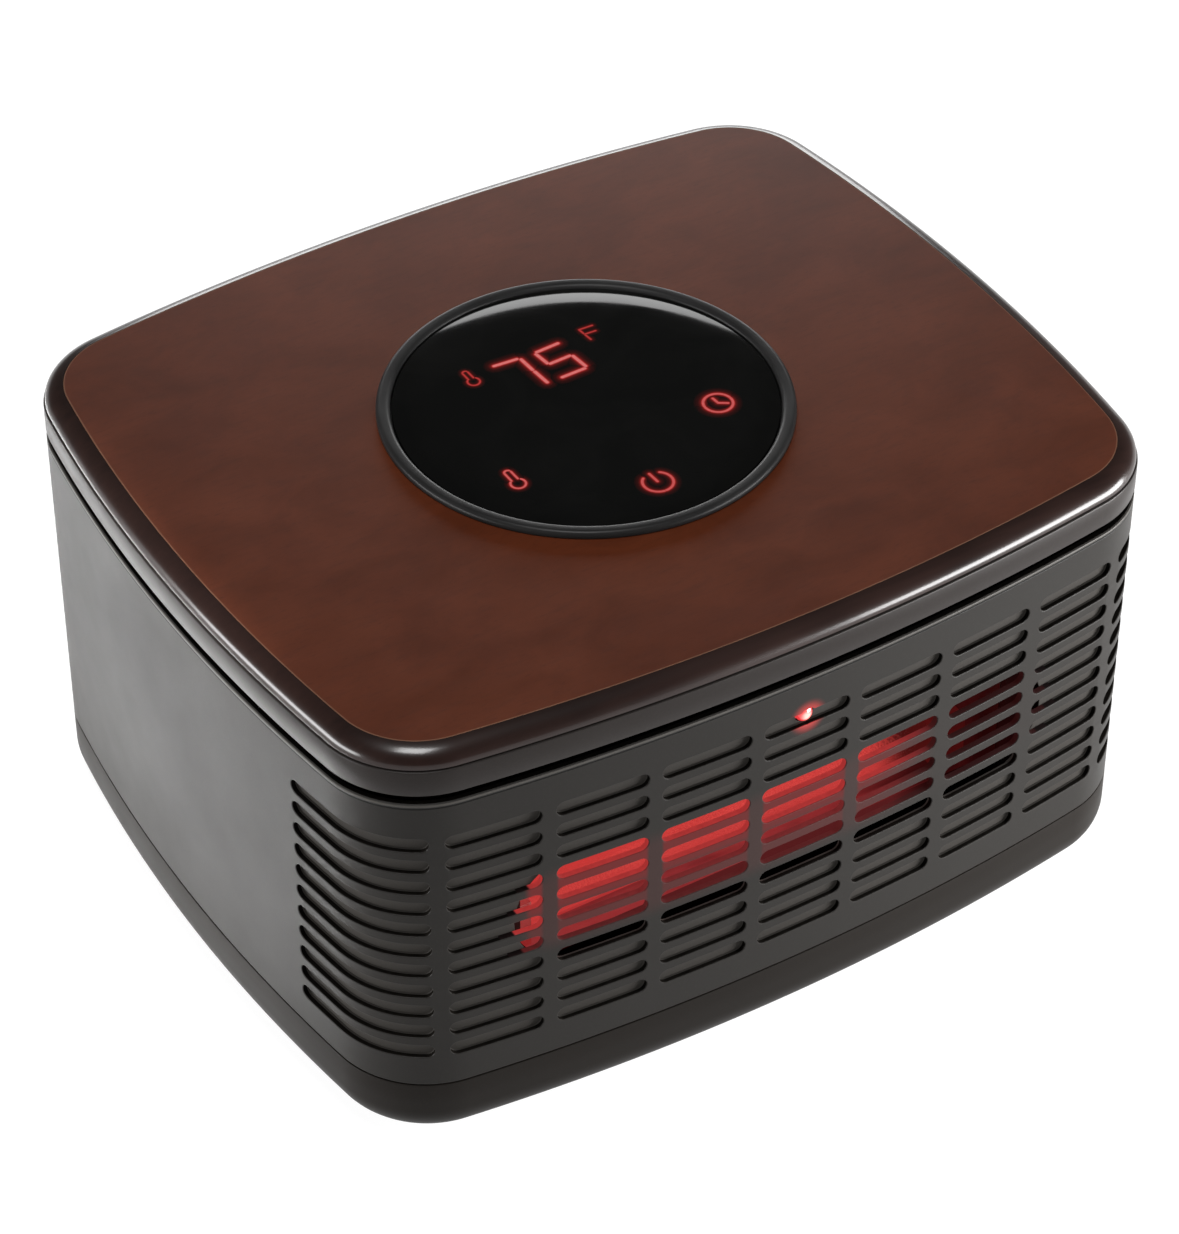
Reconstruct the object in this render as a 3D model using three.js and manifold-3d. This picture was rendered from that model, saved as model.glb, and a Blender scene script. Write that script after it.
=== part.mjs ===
// Compact infrared / ceramic cabinet heater with a wooden top.
// Millimetres, +Z up, X to the right seen from the front, -Y is the front.
// Origin on the floor plane, under the middle of the cabinet.
import * as THREE from "three";
import { mergeVertices } from "three/addons/utils/BufferGeometryUtils.js";
import Module from "manifold-3d";

const wasm = await Module();
wasm.setup();

// ---- driving dimensions -------------------------------------------------
const W = 330;              // overall width of the plan outline
const D = 279;              // overall depth of the plan outline
const R_FRONT = 892;        // crown radius of the front and back faces
const R_SIDE = 702;         // crown radius of the two side faces
const R_CORNER = 37;        // plan corner radius
const FOOT_H = 3;           // the feet lift the base this much
const BASE_TOP = 29.7;      // top edge of the base tray's skirt
const BASE_ROUND = 13.9;    // rounding under the skirt
const BODY_Z0 = 30.1;       // lower edge of the wrap
const BODY_Z1 = 157.7;      // upper edge of the wrap
const LID_Z0 = 161.3;       // lower edge of the lid's skirt
const LID_Z1 = 171.4;       // upper edge of the lid's skirt
const TOP_Z = 178.3;        // flat of the wooden top
const TOP_INSET = 7.5;      // the top's rounded edge, in plan
const WALL = 2.4;           // wrap thickness
const SLOT_PITCH_X = 38.65; // column pitch of the grille
const SLOT_L = 33.8;        // length of a slot
const SLOT_H = 5.8;         // height of a slot
const SLOT_PITCH_Z = 9.38;  // row pitch
const SLOT_TOP_ROW = 137.00;// lower edge of the top row
const ROWS = 11;
const RECEIVER_Z = 140.4;   // height of the remote receiver's eye
const CORNER_S0 = 138.4;    // the corner columns run along the outline from here
const CORNER_S1 = 196;      // to here, measured from the middle of the front
const RING_R = 72.7;        // control bezel
const GLASS_R = 67.2;
const TUBE_Y = -91;         // quartz tubes
const TUBE_Z = [57, 95];
const TUBE_R = 8;
const FAN_Z = 88;
const FAN_R = 58;
const DUCT = { x: 100, y0: -116, y1: 40, z0: 37, z1: 126, t: 1.2 };

// ---- plan outline -------------------------------------------------------
const frontCy = -D / 2 + R_FRONT;
const sideCx = W / 2 - R_SIDE;
// centre of the corner fillet that is tangent to a front arc and a side arc
function filletCentre() {
  const a = R_FRONT - R_CORNER, b = R_SIDE - R_CORNER;
  const dx = sideCx, dy = -frontCy, d = Math.hypot(dx, dy);
  const ux = dx / d, uy = dy / d;
  const t = (a * a - b * b + d * d) / (2 * d);
  const h = Math.sqrt(a * a - t * t);
  const c1 = [t * ux - h * uy, frontCy + t * uy + h * ux];
  const c2 = [t * ux + h * uy, frontCy + t * uy - h * ux];
  return c1[0] - c1[1] > c2[0] - c2[1] ? c1 : c2;
}
const FC = filletCentre();
const A_F = Math.atan2(FC[1] - frontCy, FC[0]);        // front arc ends here
const A_S = Math.atan2(FC[1], FC[0] - sideCx);         // side arc starts here
const S_FRONT = R_FRONT * (Math.PI / 2 + A_F);         // half length of the front arc
const S_FILLET = R_CORNER * (A_S - A_F);

// right half of the front, as angles on each arc
function quarter() {
  const front = [0.5, 1.5, 2.5].map((k) => -Math.PI / 2 + Math.asin((k * SLOT_PITCH_X) / R_FRONT));
  front.push(A_F);
  const fillet = [1, 2, 3, 4, 5].map((i) => A_F + ((A_S - A_F) * i) / 6);
  const side = [0, 1 / 3, 2 / 3].map((k) => A_S * (1 - k));
  return { front, fillet, side };
}
function quarterPoints(t) {
  const q = quarter();
  const p = [];
  for (const a of q.front) p.push([(R_FRONT - t) * Math.cos(a), frontCy + (R_FRONT - t) * Math.sin(a)]);
  for (const a of q.fillet) p.push([FC[0] + (R_CORNER - t) * Math.cos(a), FC[1] + (R_CORNER - t) * Math.sin(a)]);
  for (const a of q.side) p.push([sideCx + (R_SIDE - t) * Math.cos(a), (R_SIDE - t) * Math.sin(a)]);
  return p;
}
// closed outline, counter-clockwise, moved inwards by t
function outline(t) {
  const q = quarterPoints(t);
  const out = [];
  for (const [x, y] of q) out.push([x, y]);
  out.push([W / 2 - t, 0]);
  for (const [x, y] of [...q].reverse()) out.push([x, -y]);
  for (const [x, y] of q) out.push([-x, -y]);
  out.push([-(W / 2 - t), 0]);
  for (const [x, y] of [...q].reverse()) out.push([-x, y]);
  return out;
}
// point on the outline at arc length s from the middle of the front, inset t
function along(s, t) {
  const k = Math.sign(s), u = Math.abs(s);
  let x, y;
  if (u <= S_FRONT) {
    const a = -Math.PI / 2 + u / R_FRONT;
    x = (R_FRONT - t) * Math.cos(a); y = frontCy + (R_FRONT - t) * Math.sin(a);
  } else if (u <= S_FRONT + S_FILLET) {
    const a = A_F + (u - S_FRONT) / R_CORNER;
    x = FC[0] + (R_CORNER - t) * Math.cos(a); y = FC[1] + (R_CORNER - t) * Math.sin(a);
  } else {
    const a = A_S + (u - S_FRONT - S_FILLET) / R_SIDE;
    x = sideCx + (R_SIDE - t) * Math.cos(a); y = (R_SIDE - t) * Math.sin(a);
  }
  return [k * x, y];
}

// ---- shape helpers ------------------------------------------------------
const toShape = (pts) => new THREE.Shape(pts.map(([x, y]) => new THREE.Vector2(x, y)));
function prism(pts, z0, z1, holes = []) {
  const s = toShape(pts);
  for (const h of holes) s.holes.push(new THREE.Path(h.map(([x, y]) => new THREE.Vector2(x, y))));
  const g = new THREE.ExtrudeGeometry(s, { depth: z1 - z0, bevelEnabled: false, curveSegments: 1 });
  g.translate(0, 0, z0);
  return g;
}
// the same, drawn in x,z and pulled along +Y
function prismY(pts, y0, y1, holes = []) {
  const g = prism(pts, 0, y1 - y0, holes);
  g.rotateX(Math.PI / 2);
  g.translate(0, y1, 0);
  return g;
}
// the same, drawn in y,z and pulled along +X
function prismX(pts, x0, x1, holes = []) {
  const g = prism(pts, 0, x1 - x0, holes);
  g.rotateX(Math.PI / 2);
  g.rotateZ(Math.PI / 2);
  g.translate(x0, 0, 0);
  return g;
}
function box(x0, x1, y0, y1, z0, z1) {
  const g = new THREE.BoxGeometry(x1 - x0, y1 - y0, z1 - z0);
  g.translate((x0 + x1) / 2, (y0 + y1) / 2, (z0 + z1) / 2);
  return g;
}
const circle = (cx, cy, r, n, a0 = 0) =>
  Array.from({ length: n }, (_, i) => [cx + r * Math.cos(a0 + (2 * Math.PI * i) / n), cy + r * Math.sin(a0 + (2 * Math.PI * i) / n)]);
const rect = (x0, x1, y0, y1) => [[x0, y0], [x1, y0], [x1, y1], [x0, y1]];
// rectangle with cut corners
const rectC = (x0, x1, y0, y1, c) => [[x0 + c, y0], [x1 - c, y0], [x1, y0 + c], [x1, y1 - c], [x1 - c, y1], [x0 + c, y1], [x0, y1 - c], [x0, y0 + c]];
function stadium(cx, cy, L, H, n = 2) {
  const r = H / 2, pts = [];
  for (let i = 0; i <= n; i++) { const a = -Math.PI / 2 + (Math.PI * i) / n; pts.push([cx + L / 2 - r + r * Math.cos(a), cy + r * Math.sin(a)]); }
  for (let i = 0; i <= n; i++) { const a = Math.PI / 2 + (Math.PI * i) / n; pts.push([cx - L / 2 + r + r * Math.cos(a), cy + r * Math.sin(a)]); }
  return pts;
}
// profile of [radius, z] turned about Z
function turned(profile, n, cx = 0, cy = 0) {
  const g = new THREE.LatheGeometry(profile.map(([r, z]) => new THREE.Vector2(r, z)), n);
  g.rotateX(Math.PI / 2);
  g.translate(cx, cy, 0);
  return g;
}
const alongY = (g, x, y, z) => { g.rotateX(-Math.PI / 2); g.translate(x, y, z); return g; };
const alongX = (g, x, y, z) => { g.rotateY(Math.PI / 2); g.translate(x, y, z); return g; };
// solid from a closed geometry
function solid(geo) {
  let g = geo.clone();
  g.deleteAttribute("normal");
  g.deleteAttribute("uv");
  g = mergeVertices(g, 1e-4);
  const pos = g.attributes.position.array, idx = g.index.array;
  const tri = [];
  for (let i = 0; i < idx.length; i += 3) {
    const [a, b, c] = [idx[i], idx[i + 1], idx[i + 2]];
    if (a !== b && b !== c && a !== c) tri.push(a, b, c);
  }
  let vol = 0;
  const P = (i) => new THREE.Vector3(pos[3 * i], pos[3 * i + 1], pos[3 * i + 2]);
  for (let i = 0; i < tri.length; i += 3) vol += P(tri[i]).dot(P(tri[i + 1]).cross(P(tri[i + 2])));
  if (vol < 0) for (let i = 0; i < tri.length; i += 3) [tri[i + 1], tri[i + 2]] = [tri[i + 2], tri[i + 1]];
  return new wasm.Manifold(new wasm.Mesh({ numProp: 3, vertProperties: new Float32Array(pos), triVerts: new Uint32Array(tri) }));
}
function join(...parts) {
  return parts.map((p) => (p.getMesh ? p : solid(p))).reduce((a, b) => a.add(b));
}
function cut(base, ...tools) {
  let m = base.getMesh ? base : solid(base);
  for (const t of tools) m = m.subtract(t.getMesh ? t : solid(t));
  return m;
}
const common = (a, b) => (a.getMesh ? a : solid(a)).intersect(b.getMesh ? b : solid(b));
function geometryOf(m) {
  const mesh = m.getMesh();
  const g = new THREE.BufferGeometry();
  const n = mesh.numProp, v = mesh.vertProperties, count = v.length / n;
  const p = new Float32Array(count * 3);
  for (let i = 0; i < count; i++) { p[3 * i] = v[n * i]; p[3 * i + 1] = v[n * i + 1]; p[3 * i + 2] = v[n * i + 2]; }
  g.setAttribute("position", new THREE.BufferAttribute(p, 3));
  g.setIndex(new THREE.BufferAttribute(new Uint32Array(mesh.triVerts), 1));
  const flat = g.toNonIndexed();
  flat.computeVertexNormals();
  return flat;
}

// ---- materials ----------------------------------------------------------
const M = (color, roughness, metalness) => new THREE.MeshStandardMaterial({ color, roughness, metalness });
const bronze = M(0x6b6560, 0.42, 0.55);
const wood = M(0x52302a, 0.45, 0);
const blackPlastic = M(0x1b1a19, 0.5, 0);
const gloss = M(0x0b0a0a, 0.08, 0);
const glassMat = M(0xd8d4cc, 0.05, 0);
const redLed = M(0xff2a1a, 0.3, 0);
const galvanised = M(0xa9abab, 0.4, 0.9);
const bright = M(0xdedede, 0.15, 1);
const ceramic = M(0xe4ddcf, 0.7, 0);
const rubber = M(0x141414, 0.9, 0);
const steel = M(0x8c8d8e, 0.35, 1);
const pcb = M(0x2a5a34, 0.5, 0);
const foam = M(0x2e2e30, 1, 0);
const copper = M(0xa8653a, 0.4, 0.8);
const coilMat = M(0xff5a1e, 0.5, 0.4);

const heater = new THREE.Group();
heater.name = "cabinet_heater";
function part(name, shape, material, parent = heater) {
  const geo = shape.getMesh ? geometryOf(shape) : shape;
  const mesh = new THREE.Mesh(geo, material);
  mesh.name = name;
  parent.add(mesh);
  return mesh;
}

// ---- top: wooden board, lid tray, spacer --------------------------------
{
  // board: rounded upper edge, round hole for the control cup
  const s = toShape(outline(0.6));
  const e = new THREE.ExtrudeGeometry(s, { depth: 0.4, bevelEnabled: true, bevelThickness: TOP_Z - LID_Z1 - 0.7, bevelSize: TOP_INSET - 0.6, bevelOffset: -(TOP_INSET - 0.6), bevelSegments: 3, curveSegments: 1 });
  e.translate(0, 0, LID_Z1 + 0.3);
  let board = common(e, box(-200, 200, -200, 200, LID_Z1 + 0.3, 300));
  board = cut(board, prism(circle(0, 0, 69.9, 36), 150, 200));
  part("wood_top_board", board, wood);

  // lid tray: plate with a skirt all round
  let tray = join(
    prism(outline(0), LID_Z0, LID_Z1, [outline(2.6)]),
    prism(outline(2.0), LID_Z1 - 2.4, LID_Z1)
  );
  tray = cut(tray, prism(circle(0, 0, 66.2, 32), 150, 200));
  part("lid_tray", tray, bronze);

  // spacer: stands on the wrap's flange and holds the lid off the body
  part("lid_spacer_frame", prism(outline(4.6), 154.3, LID_Z1 - 2.7, [outline(8.2)]), blackPlastic);
}

// ---- control panel in the top -------------------------------------------
const control = new THREE.Group();
heater.add(control);
{
  // bezel: rounded ring that lies on the board, with a short sleeve and a seat for the glass
  part("control_bezel_ring", turned([
    [64.2, 172.0], [69.2, 172.0], [69.2, 178.6], [RING_R, 178.6], [RING_R, 179.6], [71.2, 181.0], [69.4, 181.1], [67.6, 180.1], [67.6, 177.2], [64.2, 177.2], [64.2, 172.0],
  ], 36), gloss, control);
  part("control_glass", turned([[0, 177.5], [GLASS_R, 177.5], [GLASS_R, 179.5], [66.8, 179.9], [0, 179.9]], 36), gloss, control);
  // cup under the glass
  part("control_housing", turned([
    [0, 156.0], [63.8, 156.0], [63.8, 177.1], [62.0, 177.1], [62.0, 158.0], [0, 158.0],
  ], 32), blackPlastic, control);
  part("touch_control_board", prism(circle(0, 0, 61.4, 24), 168.0, 169.6), pcb, control);
  part("display_module", prism(rectC(-42, 42, -22, 26, 3), 169.9, 177.0), blackPlastic, control);
}

// ---- body ---------------------------------------------------------------
{
  const ring = prism(outline(0), BODY_Z0, BODY_Z1, [outline(WALL)]);
  let wrap = cut(ring, box(-118, 118, 118, 160, 0, 200));
  const tools = [];
  for (let row = 0; row < ROWS; row++) {
    const z = SLOT_TOP_ROW - SLOT_PITCH_Z * row + SLOT_H / 2;
    for (let col = -3; col <= 3; col++) tools.push(prismY(stadium(col * SLOT_PITCH_X, z, SLOT_L, SLOT_H, 2), -150, -118));
    for (const side of [-1, 1]) {
      const s = [CORNER_S0, 147, 157, 167, S_FRONT + S_FILLET, CORNER_S1];
      const outer = s.map((v) => along(side * v, -3)), inner = s.map((v) => along(side * v, 5)).reverse();
      tools.push(prism([...outer, ...inner], z - SLOT_H / 2, z + SLOT_H / 2));
    }
  }
  let all = solid(tools[0]);
  for (const t of tools.slice(1)) all = all.add(solid(t));
  wrap = wrap.subtract(all);
  // eye for the remote receiver, let into the lower lip of the middle slot in the top row
  wrap = cut(wrap, prismY(circle(0, RECEIVER_Z, 3.6, 16), -150, -130));
  part("body_wrap", wrap, bronze);
  // frame inside the top of the wrap that carries the spacer
  part("wrap_top_frame", cut(prism(outline(2.7), 151.9, 154.0, [outline(9)]), box(-118, 118, 118, 160, 0, 200)), galvanised);

  // plate close behind the slots, with a window in front of the heater
  const s = [-206, -190, -S_FRONT - S_FILLET, -165, -156, -147, -137, -S_FRONT, -96.7, -58, -19.3, 19.3, 58, 96.7, S_FRONT, 137, 147, 156, 165, S_FRONT + S_FILLET, 190, 206];
  let plate = solid(prism([...s.map((v) => along(v, 3.0)), ...s.map((v) => along(v, 4.4)).reverse()], 31, 151.4));
  plate = cut(plate, prismY(stadium(-1.5, 93.0, 213, 48, 6), -160, -110), prismY(circle(0, RECEIVER_Z, 3.6, 12), -160, -120));
  part("grille_backing_plate", plate, bronze);

  // remote receiver behind the middle slot of the top row
  const zr = RECEIVER_Z;
  part("ir_receiver_lens", alongY(turned([[0, -4.7], [1.6, -4.5], [2.6, -3.9], [3.1, -3.0], [3.1, 6], [0, 6]], 16), 0, -134.2, zr), redLed);
  part("ir_receiver_board", prismY(rect(-11, 11, zr - 9, zr + 9), -127.6, -126.0), pcb);
}

// ---- base ---------------------------------------------------------------
{
  const e = (t, z0, dz, bv) => {
    const g = new THREE.ExtrudeGeometry(toShape(outline(t)), { depth: dz, bevelEnabled: true, bevelThickness: bv, bevelSize: bv, bevelOffset: -bv, bevelSegments: 3, curveSegments: 1 });
    g.translate(0, 0, z0 + bv);
    return g;
  };
  let tray = cut(e(0, FOOT_H, 60, BASE_ROUND), box(-200, 200, -200, 200, BASE_TOP, 200));
  tray = cut(tray, e(2.4, FOOT_H + 2.4, 60, BASE_ROUND - 2.0));
  const feet = [[-112, -92], [112, -92], [-112, 92], [112, 92]];
  for (const [x, y] of feet) tray = cut(tray, prism(circle(x, y, 3.4, 12), 0, 12));
  tray = cut(tray, prism(circle(-60, 60, 3.6, 16), 0, 12));
  // bosses for the screws that hold the wrap
  for (const [x, y] of [[-138, -60], [138, -60], [-138, 60], [138, 60]]) {
    tray = join(tray, prism(circle(x, y, 5.5, 12), FOOT_H + 2, 28));
    tray = cut(tray, prism(circle(x, y, 4.4, 12), 0, FOOT_H + 5), prism(circle(x, y, 2.1, 12), 0, 40));
  }
  part("base_tray", tray, bronze);
  feet.forEach(([x, y], i) => part(["foot_front_left", "foot_front_right", "foot_back_left", "foot_back_right"][i], turned([
    [0, 0], [7.6, 0], [9, 1.2], [9, 2.7], [3.05, 2.7], [3.05, 6.0], [4.3, 6.0], [3.6, 8.2], [0, 8.2],
  ], 16, x, y), rubber));
  [[-138, -60], [138, -60], [-138, 60], [138, 60]].forEach(([x, y], i) => part(["base_screw_front_left", "base_screw_front_right", "base_screw_back_left", "base_screw_back_right"][i], cut(
    turned([[0, 5.6], [3.2, 5.6], [3.7, 6.2], [3.7, 7.6], [1.7, 7.6], [1.7, 22], [0, 23.5]], 12, x, y),
    box(x - 0.5, x + 0.5, y - 2.2, y + 2.2, 4, 6.6), box(x - 2.2, x + 2.2, y - 0.5, y + 0.5, 4, 6.6)), steel));

  // tip-over switch: plunger pushed up by the floor
  const px = -60, py = 60;
  part("tip_switch_body", cut(
    join(prism(rectC(px - 11, px + 11, py - 8, py + 8, 1), 5.8, 32), prism(rectC(px - 17, px + 17, py - 5, py + 5, 1), 5.8, 8)),
    prism(circle(px, py, 5.6, 16), 0, 28.6), prism(circle(px, py, 2.5, 16), 20, 40)), blackPlastic);
  part("tip_switch_plunger", turned([[0, 0.1], [2.2, 0.3], [3.1, 1.4], [3.1, 11], [5.0, 11], [5.0, 12.5], [2.0, 12.5], [2.0, 26.5], [0, 27]], 16, px, py), blackPlastic);
  class Helix extends THREE.Curve {
    getPoint(t, v = new THREE.Vector3()) { const a = 2 * Math.PI * 4.5 * t; return v.set(px + 3.7 * Math.cos(a), py + 3.7 * Math.sin(a), 13.4 + 14.4 * t); }
  }
  part("tip_switch_spring", new THREE.ExtrudeGeometry(toShape(circle(0, 0, 0.4, 4)), { steps: 38, extrudePath: new Helix(), bevelEnabled: false }), steel);
}

// ---- rear panel, filter, switch, cord gland -----------------------------
const FILTER = { x: 84, z0: 64, z1: 138 };
{
  // curved panel closing the back of the wrap
  const band = (t0, t1, x, z0, z1) => common(prism(outline(t0), z0, z1, [outline(t1)]), box(-x, x, 100, 160, z0, z1));
  let panel = band(0, 2.4, 117.6, BODY_Z0, BODY_Z1);
  panel = cut(panel, box(-FILTER.x, FILTER.x, 100, 160, FILTER.z0, FILTER.z1));
  // seat frame behind the filter
  panel = join(panel, cut(box(-FILTER.x - 3, FILTER.x + 3, 120, 134.4, FILTER.z0 - 3, FILTER.z1 + 3), box(-FILTER.x, FILTER.x, 100, 160, FILTER.z0, FILTER.z1)));
  // pockets for the power switch and the cord gland
  for (const x of [-46, 46]) {
    panel = join(panel, box(x - 17, x + 17, 131.2, 138, 37, 58));
    panel = cut(panel, box(x - 15, x + 15, 134, 160, 39, 56));
  }
  panel = cut(panel, box(-46 - 10.2, -46 + 10.2, 120, 150, 40.8, 54.2));
  panel = cut(panel, prismY(circle(46, 47.5, 7.4, 16), 120, 150));
  // air slots each side of the filter
  for (const sx of [-1, 1]) for (let i = 0; i < 8; i++) panel = cut(panel, box(Math.min(sx * 92, sx * 111), Math.max(sx * 92, sx * 111), 100, 160, 68 + i * 9, 71.2 + i * 9));
  // screw holes
  const screws = [[-112, 144], [112, 144], [-112, 38], [112, 38]];
  for (const [x, z] of screws) panel = cut(panel, prismY(circle(x, z, 2.1, 10), 100, 160));
  part("rear_panel", panel, blackPlastic);
  const names = ["rear_screw_upper_left", "rear_screw_upper_right", "rear_screw_lower_left", "rear_screw_lower_right"];
  screws.forEach(([x, z], i) => {
    const ys = frontCy * -1 + Math.sqrt(R_FRONT * R_FRONT - x * x);   // outer face of the panel here
    const g = turned([[0, -9], [1.6, -8], [1.6, 0.9], [3.6, 0.9], [3.3, 2.0], [2.0, 2.5], [0, 2.6]], 12);
    part(names[i], cut(alongY(g, x, ys - 0.15, z), box(x - 0.45, x + 0.45, ys + 1.4, ys + 4, z - 2, z + 2), box(x - 2, x + 2, ys + 1.4, ys + 4, z - 0.45, z + 0.45)), steel);
  });

  // filter cover that pulls straight off the back
  const fx = FILTER.x - 0.5, f0 = FILTER.z0 + 0.5, f1 = FILTER.z1 - 0.5;
  let cover = band(0.3, 2.7, fx, f0, f1);
  cover = join(cover, cut(box(-fx, fx, 126.4, 134.4, f0, f1), box(-fx + 2.2, fx - 2.2, 100, 160, f0 + 2.2, f1 - 2.2)));
  for (let row = 0; row < 6; row++) for (let col = -2; col <= 2; col++) {
    const z = f0 + 9.5 + row * 10.6;
    cover = cut(cover, box(col * 31.5 - 13, col * 31.5 + 13, 110, 160, z - 2.2, z + 2.2));
  }
  // finger tab at the top edge
  cover = cut(cover, box(-14, 14, 136.6, 160, f1 - 5, f1 + 5));
  part("filter_cover", cover, blackPlastic);
  part("filter_foam", prismY(rect(-fx + 2.6, fx - 2.6, f0 + 2.6, f1 - 2.6), 127.2, 132.0), foam);

  // power switch
  part("rocker_switch_housing", cut(
    join(box(-46 - 13, -46 + 13, 134.3, 135.8, 39.6, 55.4), box(-46 - 9.8, -46 + 9.8, 121, 135.8, 41.2, 53.8)),
    box(-46 - 8.6, -46 + 8.6, 125, 150, 42.4, 52.6)), blackPlastic);
  const rock = prismX([[-1.7, -4.6], [1.7, -4.6], [2.3, 0], [0.4, 4.4], [-3.2, 3.6], [-4.8, 0.5], [-5.6, -3.6], [-4.4, -4.6]].map(([y, z]) => [y, z]), -46 - 8.2, -46 + 8.2);
  rock.translate(0, 134.2, 47.5);
  part("power_rocker", rock, blackPlastic);

  // cord outlet bushing, open for an 8 mm cord
  part("cord_gland", alongY(turned([
    [4.3, -12], [5.9, -12], [6.9, -2.8], [6.9, 0.6], [8.2, 0.6], [8.2, 2.0], [7.0, 4.4], [4.3, 4.8], [4.3, -12],
  ], 16), 46, 134, 47.5), rubber);
}

// ---- heater core --------------------------------------------------------
{
  const { x, y0, y1, z0, z1, t } = DUCT;
  part("air_duct", prismY(rect(-x, x, z0, z1), y0, y1, [rect(-x + t, x - t, z0 + t, z1 - t)]), galvanised);
  // black frame in front of the duct; its lower lip hides the duct floor
  part("duct_outlet_frame", cut(
    join(prismY(rectC(-112, 112, 34.5, 132, 4), -119, -116.4)),
    prismY(rectC(-99, 99, 60.5, 124, 3), -130, -110)), blackPlastic);
  // bright trough reflector behind the tubes
  const pts = [];
  const trough = (zc, h, k) => { const a = (Math.PI * (k / 8 - 0.5)); return [TUBE_Y + 4 + 21 * Math.cos(a), zc + h * Math.sin(a)]; };
  for (let k = 0; k <= 8; k++) pts.push(trough(57.5, 18.5, k));
  for (let k = 1; k <= 8; k++) pts.push(trough(95, 19, k));
  const back = pts.map(([y, z], i) => [y + 1.1 * Math.cos(Math.PI * ((i % 8 || (i ? 8 : 0)) / 8 - 0.5)) + 0.25, z]).reverse();
  part("reflector", prismX([...pts, ...back], -86, 86), bright);
  ["lower", "upper"].forEach((n, i) => {
    const z = TUBE_Z[i];
    part("quartz_tube_" + n, alongX(turned([[TUBE_R - 1.2, -84], [TUBE_R, -84], [TUBE_R, 84], [TUBE_R - 1.2, 84], [TUBE_R - 1.2, -84]], 16), 0, TUBE_Y, z), glassMat);
    part("heating_coil_" + n, alongX(turned([[0, -84], [3.4, -84], [3.4, 84], [0, 84]], 10), 0, TUBE_Y, z), coilMat);
    for (const s of [-1, 1]) {
      const g = box(s < 0 ? -96.5 : 84.3, s < 0 ? -84.3 : 96.5, TUBE_Y - 10, TUBE_Y + 10, z - 10, z + 10);
      part("tube_end_" + n + (s < 0 ? "_left" : "_right"), g, ceramic);
    }
  });
  // ceramic heating block: honeycomb plate in a frame
  const holes = [];
  for (let i = 0; i < 7; i++) for (let j = 0; j < 3; j++) {
    const cx = -69 + i * 23, cz = 59 + j * 22.75;
    holes.push(box(cx - 10, cx + 10, -50, 10, cz - 9.8, cz + 9.8));
  }
  part("ceramic_heater_block", cut(box(-82.5, 82.5, -30, -8, 46, 117.5), ...holes), ceramic);
  part("ceramic_block_frame", join(
    prismY(rect(-98.4, 98.4, 38.6, 124.4), -20, -18.8, [rect(-83, 83, 45.5, 118)]),
    prismY(rect(-84.2, 84.2, 44.3, 119.2), -34, -4, [rect(-83, 83, 45.5, 118)])), galvanised);
  part("thermal_cutout", join(box(-14, 14, -22, -6, 126.3, 127.8), prism(circle(0, -14, 7, 16), 127.5, 136)), blackPlastic);
  part("thermal_fuse", alongX(turned([[0, -9], [1, -8.6], [2.1, -7.6], [2.1, 7.6], [1, 8.6], [0, 9]], 10), 40, -14, 129.2), steel);
}

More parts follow.
